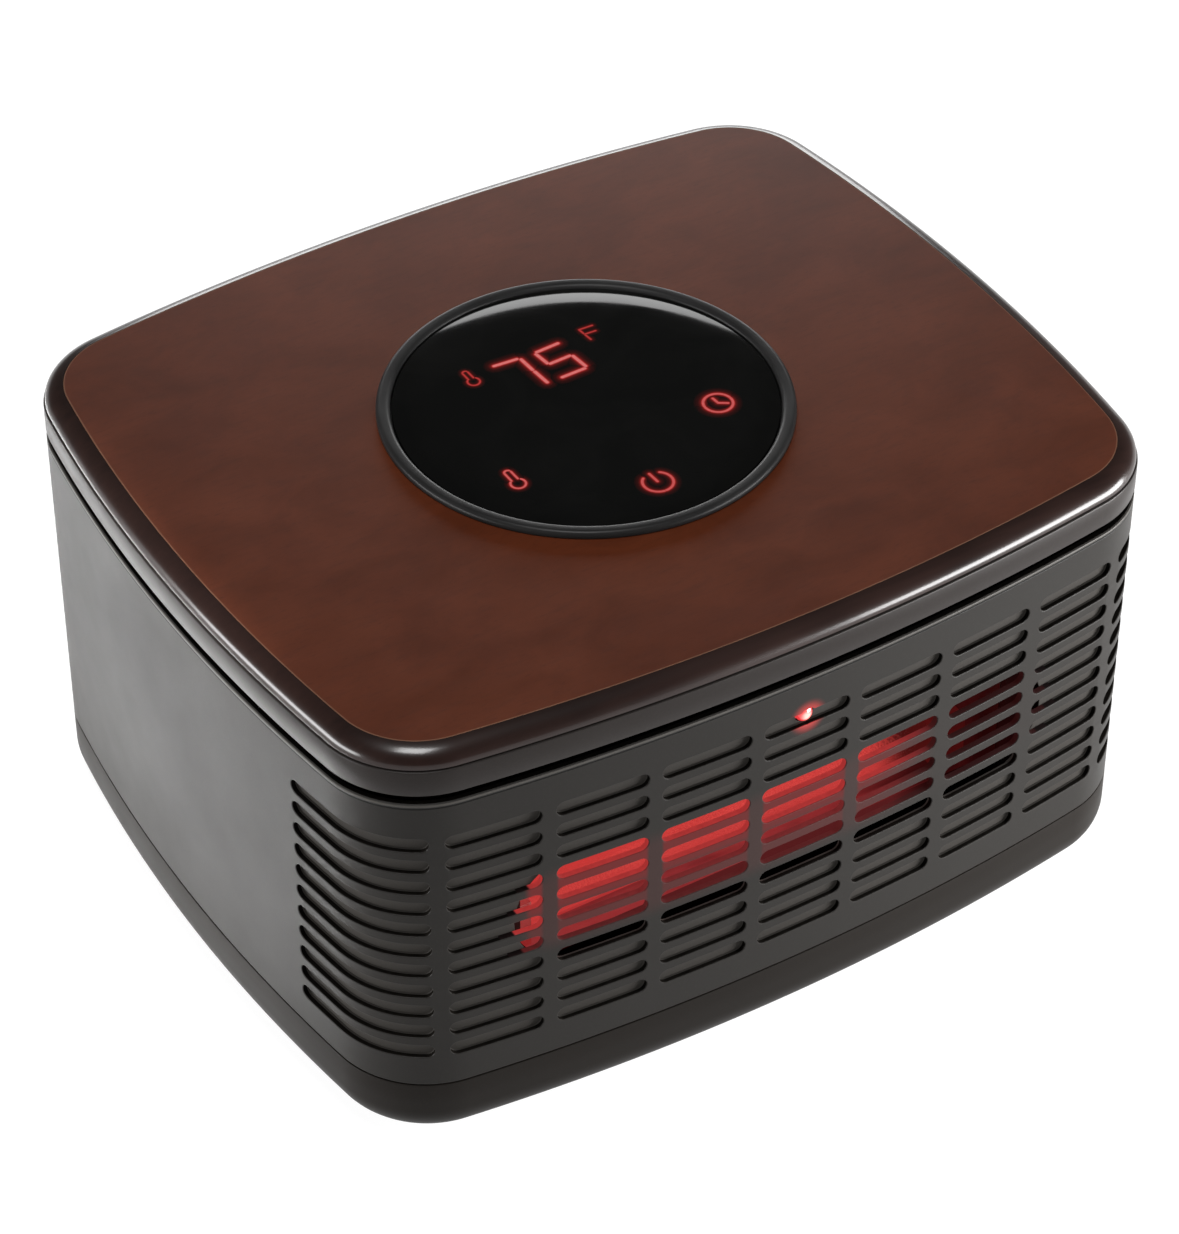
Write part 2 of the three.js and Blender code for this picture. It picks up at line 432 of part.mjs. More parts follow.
// ---- fan ----------------------------------------------------------------
{
  const yS = 41;
  part("fan_shroud", join(
    prismY(rectC(-104, 104, 33, 138, 3), yS, yS + 2, [circle(0, FAN_Z, 61.5, 32).filter(([, z]) => true)].map((h) => h.map(([a, b]) => [a * 0.8, FAN_Z + (b - FAN_Z) * 0.8]))),
    prismY(circle(0, FAN_Z, 51, 32), yS, yS + 22, [circle(0, FAN_Z, 49.2, 32)])
  ), blackPlastic);
  // rotor: hub and seven pitched blades
  const yc = yS + 12;
  let rotor = solid(alongY(turned([[3.2, -7], [15, -7], [16, -5], [16, 8], [3.2, 8], [3.2, -7]], 24), 0, yc, FAN_Z));
  for (let i = 0; i < 7; i++) {
    const sec = [[-11, -2.2], [-5, 0.2], [0, 0.9], [6, 0.2], [12, -2.4], [12, -1.0], [6, 1.7], [0, 2.4], [-5, 1.7], [-11, -0.8]];
    const g = new THREE.ExtrudeGeometry(toShape(sec), { depth: 33.2, bevelEnabled: false });
    g.rotateZ(0.56);
    g.translate(0, 0, 14);
    g.rotateY(0);
    // local x,y,z -> chord, thickness, span; turn the thickness to +Y
    g.rotateY((2 * Math.PI * i) / 7);
    g.translate(0, yc, FAN_Z);
    rotor = rotor.add(solid(g));
  }
  part("fan_rotor", rotor, blackPlastic);
  part("motor_shaft", alongY(turned([[0, -9], [2.6, -9], [2.9, -8.6], [2.9, 58], [0, 58]], 16), 0, yc, FAN_Z), steel);
  // shaded-pole motor on a bridge behind the rotor
  const bx = 3.5;
  part("motor_stator", cut(
    join(box(-26, 26, 78, 94, FAN_Z - 21, FAN_Z + 21)),
    alongY(turned([[0, 70], [11.6, 70], [11.6, 100], [0, 100]], 24), 0, 0, FAN_Z)), steel);
  part("motor_rotor", alongY(turned([[bx - 0.3, 78.2], [11, 78.2], [11, 93.8], [bx - 0.3, 93.8], [bx - 0.3, 78.2]], 20), 0, 0, FAN_Z), steel);
  part("motor_coil", cut(box(-17, 17, 74, 98, FAN_Z - 40, FAN_Z - 21.3), box(-9, 9, 60, 110, FAN_Z - 35, FAN_Z - 26)), copper);
  part("motor_bracket", cut(
    join(box(-62, 62, 70.4, 73, FAN_Z - 8, FAN_Z + 8), box(-62, -59, 43.3, 73, FAN_Z - 8, FAN_Z + 8), box(59, 62, 43.3, 73, FAN_Z - 8, FAN_Z + 8)),
    alongY(turned([[0, 60], [3.3, 60], [3.3, 80], [0, 80]], 16), 0, 0, FAN_Z)), galvanised);
}

// ---- electronics --------------------------------------------------------
{
  let b = join(
    box(-96, -8, -66, 0, 12, 13.6),
    box(-92, -72, -60, -44, 13, 28), box(-66, -50, -60, -44, 13, 27), box(-44, -18, -58, -38, 13, 25),
    box(-90, -30, -16, -6, 13, 24));
  b = b.add(solid(prism(circle(-60, -30, 8, 12), 13, 31))).add(solid(prism(circle(-38, -28, 5, 12), 13, 26)));
  part("power_control_board", b, pcb);
  part("terminal_block", cut(box(30, 72, -60, -44, 6, 22), ...[0, 1, 2, 3].map((i) => prism(circle(36 + i * 10, -52, 3, 8), 14, 30))), ceramic);
  part("room_temperature_sensor", join(box(104, 112, 60, 66, 60, 72), prism(circle(108, 63, 1.6, 8), 71, 78)), blackPlastic);
}

export default heater;
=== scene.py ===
"""Visual model of a compact cabinet heater with a wooden top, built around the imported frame.
Shapes are written in millimetres in the frame's own axes and scaled to metres when a mesh is made."""

import bpy
import bmesh
import math
import numpy as np
from mathutils import Matrix, Vector
from mathutils.geometry import delaunay_2d_cdt

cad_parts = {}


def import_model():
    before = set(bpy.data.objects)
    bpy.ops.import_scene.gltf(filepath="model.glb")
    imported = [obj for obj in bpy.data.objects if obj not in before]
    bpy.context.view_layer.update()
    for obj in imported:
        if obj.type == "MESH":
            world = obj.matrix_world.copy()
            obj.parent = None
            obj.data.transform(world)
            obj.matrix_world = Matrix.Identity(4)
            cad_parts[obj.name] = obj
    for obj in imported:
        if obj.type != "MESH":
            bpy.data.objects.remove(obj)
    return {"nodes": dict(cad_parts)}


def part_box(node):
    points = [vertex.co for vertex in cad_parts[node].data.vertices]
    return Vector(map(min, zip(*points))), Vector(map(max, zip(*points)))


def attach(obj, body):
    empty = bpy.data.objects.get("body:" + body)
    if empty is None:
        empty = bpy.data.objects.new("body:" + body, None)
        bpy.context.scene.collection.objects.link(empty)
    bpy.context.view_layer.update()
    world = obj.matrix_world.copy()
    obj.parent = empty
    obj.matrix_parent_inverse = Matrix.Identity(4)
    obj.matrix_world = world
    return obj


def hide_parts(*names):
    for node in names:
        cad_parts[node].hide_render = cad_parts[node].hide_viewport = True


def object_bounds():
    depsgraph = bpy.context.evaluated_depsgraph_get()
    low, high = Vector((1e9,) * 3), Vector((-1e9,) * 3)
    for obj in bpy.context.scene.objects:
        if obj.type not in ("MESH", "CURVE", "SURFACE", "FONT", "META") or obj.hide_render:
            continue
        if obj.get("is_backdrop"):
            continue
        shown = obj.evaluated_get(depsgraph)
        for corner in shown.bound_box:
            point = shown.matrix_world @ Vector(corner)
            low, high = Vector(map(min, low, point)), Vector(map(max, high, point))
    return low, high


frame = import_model()
CAD_LO, CAD_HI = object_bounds()
NODES = frame["nodes"]
COLL = bpy.context.scene.collection


def mm(node):
    """Lowest and highest corner of a CAD node in millimetres."""
    lo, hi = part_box(node)
    return np.array(lo) * 1000, np.array(hi) * 1000


# ---------------------------------------------------------------- plan outline
WRAP_LO, WRAP_HI = mm("body_wrap")
LID_LO, LID_HI = mm("lid_tray")
TOP_LO, TOP_HI = mm("wood_top_board")
BASE_LO, BASE_HI = mm("base_tray")
W = WRAP_HI[0] - WRAP_LO[0]
D = 279.0
R_FRONT, R_SIDE, R_CORNER = 892.0, 702.0, 37.0
FCY = -D / 2 + R_FRONT
SCX = W / 2 - R_SIDE


def _fillet():
    a, b = R_FRONT - R_CORNER, R_SIDE - R_CORNER
    dx, dy = SCX, -FCY
    d = math.hypot(dx, dy)
    ux, uy = dx / d, dy / d
    t = (a * a - b * b + d * d) / (2 * d)
    h = math.sqrt(a * a - t * t)
    c1 = (t * ux - h * uy, FCY + t * uy + h * ux)
    c2 = (t * ux + h * uy, FCY + t * uy - h * ux)
    return c1 if c1[0] - c1[1] > c2[0] - c2[1] else c2


FC = _fillet()
A_F = math.atan2(FC[1] - FCY, FC[0])
A_S = math.atan2(FC[1], FC[0] - SCX)
S1 = R_FRONT * (math.pi / 2 + A_F)
S2 = S1 + R_CORNER * (A_S - A_F)
S3 = S2 + R_SIDE * abs(A_S)  # a quarter of the outline


def along(s, t):
    """Point of the outline at arc length s from the middle of the front, moved inwards by t."""
    k = -1.0 if s < 0 else 1.0
    u = abs(s)
    ky = CAD_HI[1] * 2000 / D - 0.0002
    back = u > S3
    if back:
        u = 2 * S3 - u
    if u <= S1:
        a = -math.pi / 2 + u / R_FRONT
        x, y = (R_FRONT - t) * math.cos(a), FCY + (R_FRONT - t) * math.sin(a)
    elif u <= S2:
        a = A_F + (u - S1) / R_CORNER
        x, y = FC[0] + (R_CORNER - t) * math.cos(a), FC[1] + (R_CORNER - t) * math.sin(a)
    else:
        a = A_S + (u - S2) / R_SIDE
        x, y = SCX + (R_SIDE - t) * math.cos(a), (R_SIDE - t) * math.sin(a)
    return k * x, (-y if back else y) * ky


def ring_s(nf=12, nc=14, ns=12):
    """Arc lengths round the whole outline."""
    q = list(np.linspace(0, S1, nf + 1)[:-1]) + list(np.linspace(S1, S2, nc + 1)[:-1]) + list(np.linspace(S2, S3, ns + 1))
    half = q + [2 * S3 - v for v in reversed(q[:-1])]
    return half + [-v for v in reversed(half[1:-1])]


RING = ring_s()
FINE = ring_s(18, 26, 18)


def outline(t, z, ss=RING):
    return [(*along(s, t), z) for s in ss]


def circle_like(r, z, ss=RING):
    """Circle whose points face those of the outline."""
    out = []
    for s in ss:
        x, y = along(s, 0)
        a = math.atan2(y, x)
        out.append((r * math.cos(a), r * math.sin(a), z))
    return out


# ---------------------------------------------------------------- mesh helpers
def obj(name, verts, faces, mats, body="casing", nodes=(), smooth=32, face_mats=None, points=None):
    me = bpy.data.meshes.new(name)
    me.from_pydata([(v[0] / 1000, v[1] / 1000, v[2] / 1000) for v in verts], [], [list(f) for f in faces])
    if face_mats is not None:
        for p, m in zip(me.polygons, face_mats):
            p.material_index = m
    if points:
        for key, values in points.items():
            at = me.attributes.new(key, "FLOAT", "POINT")
            at.data.foreach_set("value", np.array(values, np.float32))
    bm = bmesh.new()
    bm.from_mesh(me)
    bmesh.ops.remove_doubles(bm, verts=bm.verts, dist=1e-7)
    bmesh.ops.recalc_face_normals(bm, faces=bm.faces)
    if smooth:
        for f in bm.faces:
            f.smooth = True
        lim = math.radians(smooth)
        for e in bm.edges:
            e.smooth = not (len(e.link_faces) == 2 and e.calc_face_angle(0.0) > lim)
    bm.to_mesh(me)
    bm.free()
    me.update()
    o = bpy.data.objects.new(name, me)
    COLL.objects.link(o)
    for m in mats if isinstance(mats, (list, tuple)) else [mats]:
        me.materials.append(m)
    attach(o, body)
    if nodes:
        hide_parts(*nodes)
    return o


def loft(rings, closed=True, caps=False):
    """Faces between rings of equal count; closed joins the last ring to the first."""
    n = len(rings[0])
    verts = [p for r in rings for p in r]
    faces = []
    m = len(rings)
    for i in range(m if closed else m - 1):
        a, b = i * n, ((i + 1) % m) * n
        for j in range(n):
            k = (j + 1) % n
            faces.append((a + j, a + k, b + k, b + j))
    if caps:
        faces.append(tuple(range(n))[::-1])
        faces.append(tuple(range((m - 1) * n, m * n)))
    return verts, faces


def lathe(profile, n=96, cx=0.0, cy=0.0, cz=0.0, axis="Z"):
    """Closed or open profile of (r, h) turned about an axis. A point with r 0 is a pole."""
    verts, faces, rows = [], [], []
    for r, h in profile:
        if r < 1e-6:
            verts.append((0, 0, h))
            rows.append([len(verts) - 1] * n)
        else:
            base = len(verts)
            for j in range(n):
                a = 2 * math.pi * j / n
                verts.append((r * math.cos(a), r * math.sin(a), h))
            rows.append(list(range(base, base + n)))
    open_ends = profile[0][0] < 1e-6 and profile[-1][0] < 1e-6
    m = len(rows)
    for i in range(m - 1 if open_ends else m):
        a, b = rows[i], rows[(i + 1) % m]
        for j in range(n):
            k = (j + 1) % n
            f = [a[j], a[k], b[k], b[j]]
            g = []
            for v in f:
                if v not in g:
                    g.append(v)
            if len(g) > 2:
                faces.append(tuple(g))
    if axis == "Y":
        verts = [(x, h, -y) for x, y, h in verts]
    elif axis == "X":
        verts = [(h, x, y) for x, y, h in verts]
    return [(x + cx, y + cy, z + cz) for x, y, z in verts], faces


def arc(cx, cy, r, a0, a1, n):
    return [(cx + r * math.cos(math.radians(a0 + (a1 - a0) * i / n)), cy + r * math.sin(math.radians(a0 + (a1 - a0) * i / n))) for i in range(n + 1)]


class Hole:
    """Rounded opening in a sheet, as a loop grown by e. r is the corner radius; r = half the height gives round ends."""

    def __init__(self, cs, cz, length, height, r=None, na=6, step=3.0, warp=None):
        self.cs, self.cz, self.L, self.H = cs, cz, length, height
        self.r = min(length, height) / 2 if r is None else r
        self.na, self.nl = na, max(1, round((length - 2 * self.r) / step))
        self.nh = max(1, round((height - 2 * self.r) / step)) if height - 2 * self.r > 1e-6 else 0
        self.warp = warp

    def loop(self, e):
        L, H, r = self.L / 2 + e, self.H / 2 + e, self.r + e
        il, ih = L - r, H - r
        if self.L - 2 * self.r < 1e-6:
            il = 0
        pts = []
        for k, (sx, sz) in enumerate([(1, -1), (1, 1), (-1, 1), (-1, -1)]):
            a0 = -90 + 90 * k
            for i in range(self.na + 1):
                a = math.radians(a0 + 90 * i / self.na)
                pts.append((sx * il + r * math.cos(a), sz * ih + r * math.sin(a)))
            # straight run to the next corner
            nx, nz = [(1, 1), (-1, 1), (-1, -1), (1, -1)][k]
            n = self.nh if k % 2 == 0 else self.nl
            x0, z0 = pts[-1]
            a = math.radians(a0 + 90)
            x1, z1 = nx * il + r * math.cos(a), nz * ih + r * math.sin(a)
            for i in range(1, n):
                pts.append((x0 + (x1 - x0) * i / n, z0 + (z1 - z0) * i / n))
        out = []
        for x, z in pts:
            q = (self.cs + x, self.cz + z)
            if self.warp:
                q = (self.warp(q[0]), q[1])
            if not out or abs(out[-1][0] - q[0]) + abs(out[-1][1] - q[1]) > 1e-7:
                out.append(q)
        if abs(out[0][0] - out[-1][0]) + abs(out[0][1] - out[-1][1]) < 1e-7:
            out.pop()
        return out


class EyeSlot(Hole):
    """Round-ended slot with a round eye let into both of its lips."""

    def __init__(self, cs, cz, length, height, eye_z, eye_r):
        super().__init__(cs, cz, length, height, na=5, step=3.2)
        self.eye_z, self.eye_r = eye_z, eye_r

    def loop(self, e):
        r, il = self.H / 2 + e, self.L / 2 - self.H / 2
        er, dz = self.eye_r + e, self.eye_z - self.cz

        def notch(h, a, b, n=9):
            """Arc of the eye outside the lip at height h, from side a to side b."""
            hw = math.sqrt(max(er * er - (h - dz) ** 2, 0.01))
            t0, t1 = math.atan2(h - dz, a * hw), math.atan2(h - dz, b * hw)
            return hw, [(er * math.cos(t0 + (t1 - t0) * i / n), dz + er * math.sin(t0 + (t1 - t0) * i / n)) for i in range(n + 1)]

        hu, upper = notch(r, 1, -1)
        hl, lower = notch(-r, -1, 1)
        pts = [(il + r * math.cos(math.radians(a)), r * math.sin(math.radians(a))) for a in range(-90, 91, 18)]
        pts += [(il + (hu - il) * i / 4, r) for i in range(1, 4)] + upper + [(-hu + (hu - il) * i / 4, r) for i in range(1, 4)]
        pts += [(-il + r * math.cos(math.radians(a)), r * math.sin(math.radians(a))) for a in range(90, 271, 18)]
        pts += [(-il + (il - hl) * i / 4, -r) for i in range(1, 4)] + lower + [(hl + (il - hl) * i / 4, -r) for i in range(1, 4)]
        return [(self.cs + x, self.cz + z) for x, z in pts]


def inside(p, loop):
    hit = False
    for (x0, z0), (x1, z1) in zip(loop, loop[1:] + loop[:1]):
        if (z0 > p[1]) != (z1 > p[1]) and p[0] < x0 + (p[1] - z0) * (x1 - x0) / (z1 - z0):
            hit = not hit
    return hit


def rect_loop(s_list, z_list, e):
    """Edge of a sheet, moved inwards by e."""
    s0, s1, z0, z1 = s_list[0], s_list[-1], z_list[0], z_list[-1]

    def fs(s):
        return s0 + e + (s - s0) * (s1 - s0 - 2 * e) / (s1 - s0)

    def fz(z):
        return z0 + e + (z - z0) * (z1 - z0 - 2 * e) / (z1 - z0)

    return ([(fs(s), z0 + e) for s in s_list[:-1]] + [(s1 - e, fz(z)) for z in z_list[:-1]]
            + [(fs(s), z1 - e) for s in reversed(s_list[1:])] + [(s0 + e, fz(z)) for z in reversed(z_list[1:])])


def sheet(s_list, z_list, holes, place, t0, t1, bevel=0.35, grid=None, rim=None, segs=2, lip=0.0):
    """Curved sheet with openings and small rounded edges. place(s, z, t) gives the point at depth t.
    Returns vertices, faces and, for each face, 0 for the outer skin, 1 for its rounded edges, 2 for the walls of openings, 4 for their outer lip and 3 for the inside."""
    rim = bevel if rim is None else rim
    loops_out = [rect_loop(s_list, z_list, rim)] + [h.loop(bevel) for h in holes]
    loops_in = [rect_loop(s_list, z_list, 0)] + [h.loop(0) for h in holes]
    flat, flat_in, edges, owner = [], [], [], []
    starts = []
    for k, (lo, li) in enumerate(zip(loops_out, loops_in)):
        starts.append(len(flat))
        n = len(lo)
        b = len(flat)
        flat += lo
        flat_in += li
        owner += [k] * n
        edges += [(b + i, b + (i + 1) % n) for i in range(n)]
    taken = np.array(flat)
    own = np.array(owner)
    boxes = [(h.cs - h.L / 2 - 1.0, h.cs + h.L / 2 + 1.0, h.cz - h.H / 2 - 1.0, h.cz + h.H / 2 + 1.0) for h in holes]
    for s, z in grid or []:
        if any(a < s < b and c < z < d for a, b, c, d in boxes):
            continue
        near = np.min((taken[:, 0] - s) ** 2 + (taken[:, 1] - z) ** 2)
        if near > 1.6 ** 2:
            flat.append((s, z))
            flat_in.append((s, z))
            owner.append(-1)
    r = delaunay_2d_cdt([Vector(p) for p in flat], edges, [], 0, 1e-6, True)
    back = {}
    for i, src in enumerate(r[3]):
        if len(src) != 1 and not src:
            raise RuntimeError("the sheet's openings cross")
        back[i] = src[0]
    tris = []
    for f in r[2]:
        a = [back[i] for i in f]
        o = {owner[i] for i in a}
        if len(o) == 1 and next(iter(o)) > 0:
            k = next(iter(o))
            if not isinstance(holes[k - 1], EyeSlot) or inside(np.mean([flat[i] for i in a], axis=0), loops_out[k]):
                continue
        tris.append(a)
    n = len(flat)
    verts = [place(s, z, t0) for s, z in flat] + [place(s, z, t1) for s, z in flat_in]
    faces, tags = [], []
    for a in tris:
        faces.append(tuple(a))
        tags.append(0)
        faces.append((a[0] + n, a[2] + n, a[1] + n))
        tags.append(3)
    for k, st in enumerate(starts):
        lo, li = loops_out[k], loops_in[k]
        cnt = len(lo)
        e = rim if k == 0 else bevel
        prev = [st + i for i in range(cnt)]
        rows = [prev]
        for j in range(1, segs + 1):
            a = math.pi / 2 * j / segs
            base = len(verts)
            wgt = math.sin(a)
            dep = e * (1 - math.cos(a))
            for i in range(cnt):
                s = lo[i][0] + (li[i][0] - lo[i][0]) * wgt
                z = lo[i][1] + (li[i][1] - lo[i][1]) * wgt
                verts.append(place(s, z, t0 + dep * (1 if t1 > t0 else -1)))
            rows.append([base + i for i in range(cnt)])
        extra = bool(lip) and k > 0
        if extra:
            base = len(verts)
            verts += [place(s, z, t0 + lip) for s, z in li]
            rows.append([base + i for i in range(cnt)])
        rows.append([n + st + i for i in range(cnt)])
        for j in range(len(rows) - 1):
            for i in range(cnt):
                q = (i + 1) % cnt
                faces.append((rows[j][i], rows[j][q], rows[j + 1][q], rows[j + 1][i]))
                tags.append(1 if j < segs else 3 if k == 0 else 4 if extra and j == segs else 2)
    return verts, faces, tags


def skin(s, z, t):
    x, y = along(s, t)
    return x, y, z


def back_skin(s, z, t):
    a = s / R_FRONT
    return (R_FRONT - t) * math.sin(a), (-FCY + (R_FRONT - t) * math.cos(a)) * (CAD_HI[1] * 2000 / D - 0.0002), z


# ---------------------------------------------------------------- node materials
def socket(node, name):
    return node.inputs[name]


class Mat:
    """Small builder for a node material around one Principled shader."""

    def __init__(self, name, **fixed):
        self.m = bpy.data.materials.new(name)
        self.m.use_nodes = True
        self.t = self.m.node_tree
        self.t.nodes.clear()
        self.out = self.t.nodes.new("ShaderNodeOutputMaterial")
        self.p = self.t.nodes.new("ShaderNodeBsdfPrincipled")
        self.t.links.new(self.p.outputs[0], self.out.inputs["Surface"])
        for k, v in fixed.items():
            self.set(k, v)
        self.co = self.t.nodes.new("ShaderNodeTexCoord").outputs["Object"]

    NAMES = {"color": "Base Color", "rough": "Roughness", "metal": "Metallic", "spec": "Specular IOR Level", "coat": "Coat Weight",
             "coat_rough": "Coat Roughness", "ior": "IOR", "emit": "Emission Color", "emit_k": "Emission Strength", "alpha": "Alpha",
             "trans": "Transmission Weight", "normal": "Normal", "aniso": "Anisotropic", "sheen": "Sheen Weight"}

    def set(self, k, v):
        s = self.p.inputs[self.NAMES[k]]
        if isinstance(v, (tuple, list)) and len(v) == 3:
            v = (*v, 1.0)
        s.default_value = v

    def link(self, k, out):
        self.t.links.new(out, self.p.inputs[self.NAMES[k]])

    def node(self, kind, **ins):
        n = self.t.nodes.new("ShaderNode" + kind)
        for k, v in ins.items():
            k = k.replace("_", " ")
            if hasattr(v, "is_output") or isinstance(v, bpy.types.NodeSocket):
                self.t.links.new(v, n.inputs[k])
            else:
                n.inputs[k].default_value = v
        return n

    def stretch(self, sx, sy, sz, rot=(0, 0, 0)):
        n = self.t.nodes.new("ShaderNodeMapping")
        self.t.links.new(self.co, n.inputs["Vector"])
        n.inputs["Scale"].default_value = (sx, sy, sz)
        n.inputs["Rotation"].default_value = rot
        return n.outputs["Vector"]

    def noise(self, scale, detail=3.0, rough=0.55, vec=None, distort=0.0):
        n = self.t.nodes.new("ShaderNodeTexNoise")
        self.t.links.new(vec if vec is not None else self.co, n.inputs["Vector"])
        n.inputs["Scale"].default_value = scale
        n.inputs["Detail"].default_value = detail
        n.inputs["Roughness"].default_value = rough
        n.inputs["Distortion"].default_value = distort
        return n.outputs["Fac"]

    def voronoi(self, scale, vec=None, feature="F1", out="Distance"):
        n = self.t.nodes.new("ShaderNodeTexVoronoi")
        n.feature = feature
        self.t.links.new(vec if vec is not None else self.co, n.inputs["Vector"])
        n.inputs["Scale"].default_value = scale
        return n.outputs[out]

    def wave(self, scale, axis="X", vec=None, distort=0.0):
        n = self.t.nodes.new("ShaderNodeTexWave")
        n.bands_direction = axis
        self.t.links.new(vec if vec is not None else self.co, n.inputs["Vector"])
        n.inputs["Scale"].default_value = scale
        n.inputs["Distortion"].default_value = distort
        return n.outputs["Fac"]

    def ramp(self, fac, stops, mode="LINEAR"):
        n = self.t.nodes.new("ShaderNodeValToRGB")
        n.color_ramp.interpolation = mode
        self.t.links.new(fac, n.inputs["Fac"])
        e = n.color_ramp.elements
        while len(e) > 1:
            e.remove(e[-1])
        for i, (pos, c) in enumerate(stops):
            el = e[0] if i == 0 else e.new(pos)
            el.position = pos
            el.color = (*c, 1.0) if len(c) == 3 else c
        return n.outputs["Color"]

    def span(self, fac, a, b, lo=0.0, hi=1.0, smooth=False):
        n = self.t.nodes.new("ShaderNodeMapRange")
        n.interpolation_type = "SMOOTHSTEP" if smooth else "LINEAR"
        self.t.links.new(fac, n.inputs["Value"])
        n.inputs["From Min"].default_value = a
        n.inputs["From Max"].default_value = b
        n.inputs["To Min"].default_value = lo
        n.inputs["To Max"].default_value = hi
        return n.outputs["Result"]

    def math(self, op, a, b=None, c=None):
        n = self.t.nodes.new("ShaderNodeMath")
        n.operation = op
        for i, v in enumerate((a, b, c)):
            if v is None:
                continue
            if isinstance(v, bpy.types.NodeSocket):
                self.t.links.new(v, n.inputs[i])
            else:
                n.inputs[i].default_value = v
        return n.outputs[0]

    def mix(self, fac, a, b, mode="MIX"):
        n = self.t.nodes.new("ShaderNodeMix")
        n.data_type = "RGBA"
        n.blend_type = mode
        for k, v in ((0, fac), (6, a), (7, b)):
            if isinstance(v, bpy.types.NodeSocket):
                self.t.links.new(v, n.inputs[k])
            elif k == 0:
                n.inputs[k].default_value = v
            else:
                n.inputs[k].default_value = (*v, 1.0)
        return n.outputs[2]

    def xyz(self, vec=None):
        n = self.t.nodes.new("ShaderNodeSeparateXYZ")
        self.t.links.new(vec if vec is not None else self.co, n.inputs[0])
        return n.outputs

    def attr(self, name):
        n = self.t.nodes.new("ShaderNodeAttribute")
        n.attribute_name = name
        return n.outputs["Fac"]

    def bump(self, height, dist, strength=1.0):
        n = self.t.nodes.new("ShaderNodeBump")
        n.inputs["Strength"].default_value = strength
        n.inputs["Distance"].default_value = dist
        self.t.links.new(height, n.inputs["Height"])
        self.link("normal", n.outputs["Normal"])
        return n


def bronze_paint(name, tint=(0.0150, 0.0138, 0.0126), painted_light_gain=1.0, rough=0.42, spec=0.09, lift=0.0):
    """Satin bronze-grey paint: fine metallic fleck, slight clouding and an orange-peel surface. painted_light_gain and
    lift are painted light: they make a lightened, faintly glowing copy for a surface that lies in shade.
    """
    m = Mat(name, metal=0.0, spec=spec)
    c = tuple(v * painted_light_gain for v in tint)
    cloud = m.noise(9.0, 3.0, 0.5)
    fleck = m.noise(1400.0, 2.0, 0.6)
    base = m.mix(m.span(cloud, 0.3, 0.7), tuple(v * 0.93 for v in c), tuple(v * 1.07 for v in c))
    base = m.mix(m.span(fleck, 0.5, 0.78, 0.0, 0.35), base, tuple(v * 1.7 for v in c))
    m.link("color", base)
    m.link("rough", m.span(m.noise(22.0, 3.0, 0.6), 0.25, 0.75, rough - 0.04, rough + 0.05))
    m.bump(m.noise(900.0, 2.0, 0.5), 0.00002, 0.35)
    # painted fill light: a faint clouded emission in the paint's own colour
    if lift:
        m.link("emit", m.mix(m.span(cloud, 0.3, 0.7, 0.9, 1.0), (0.0, 0.0, 0.0), c))
        m.set("emit_k", lift)
    return m.m


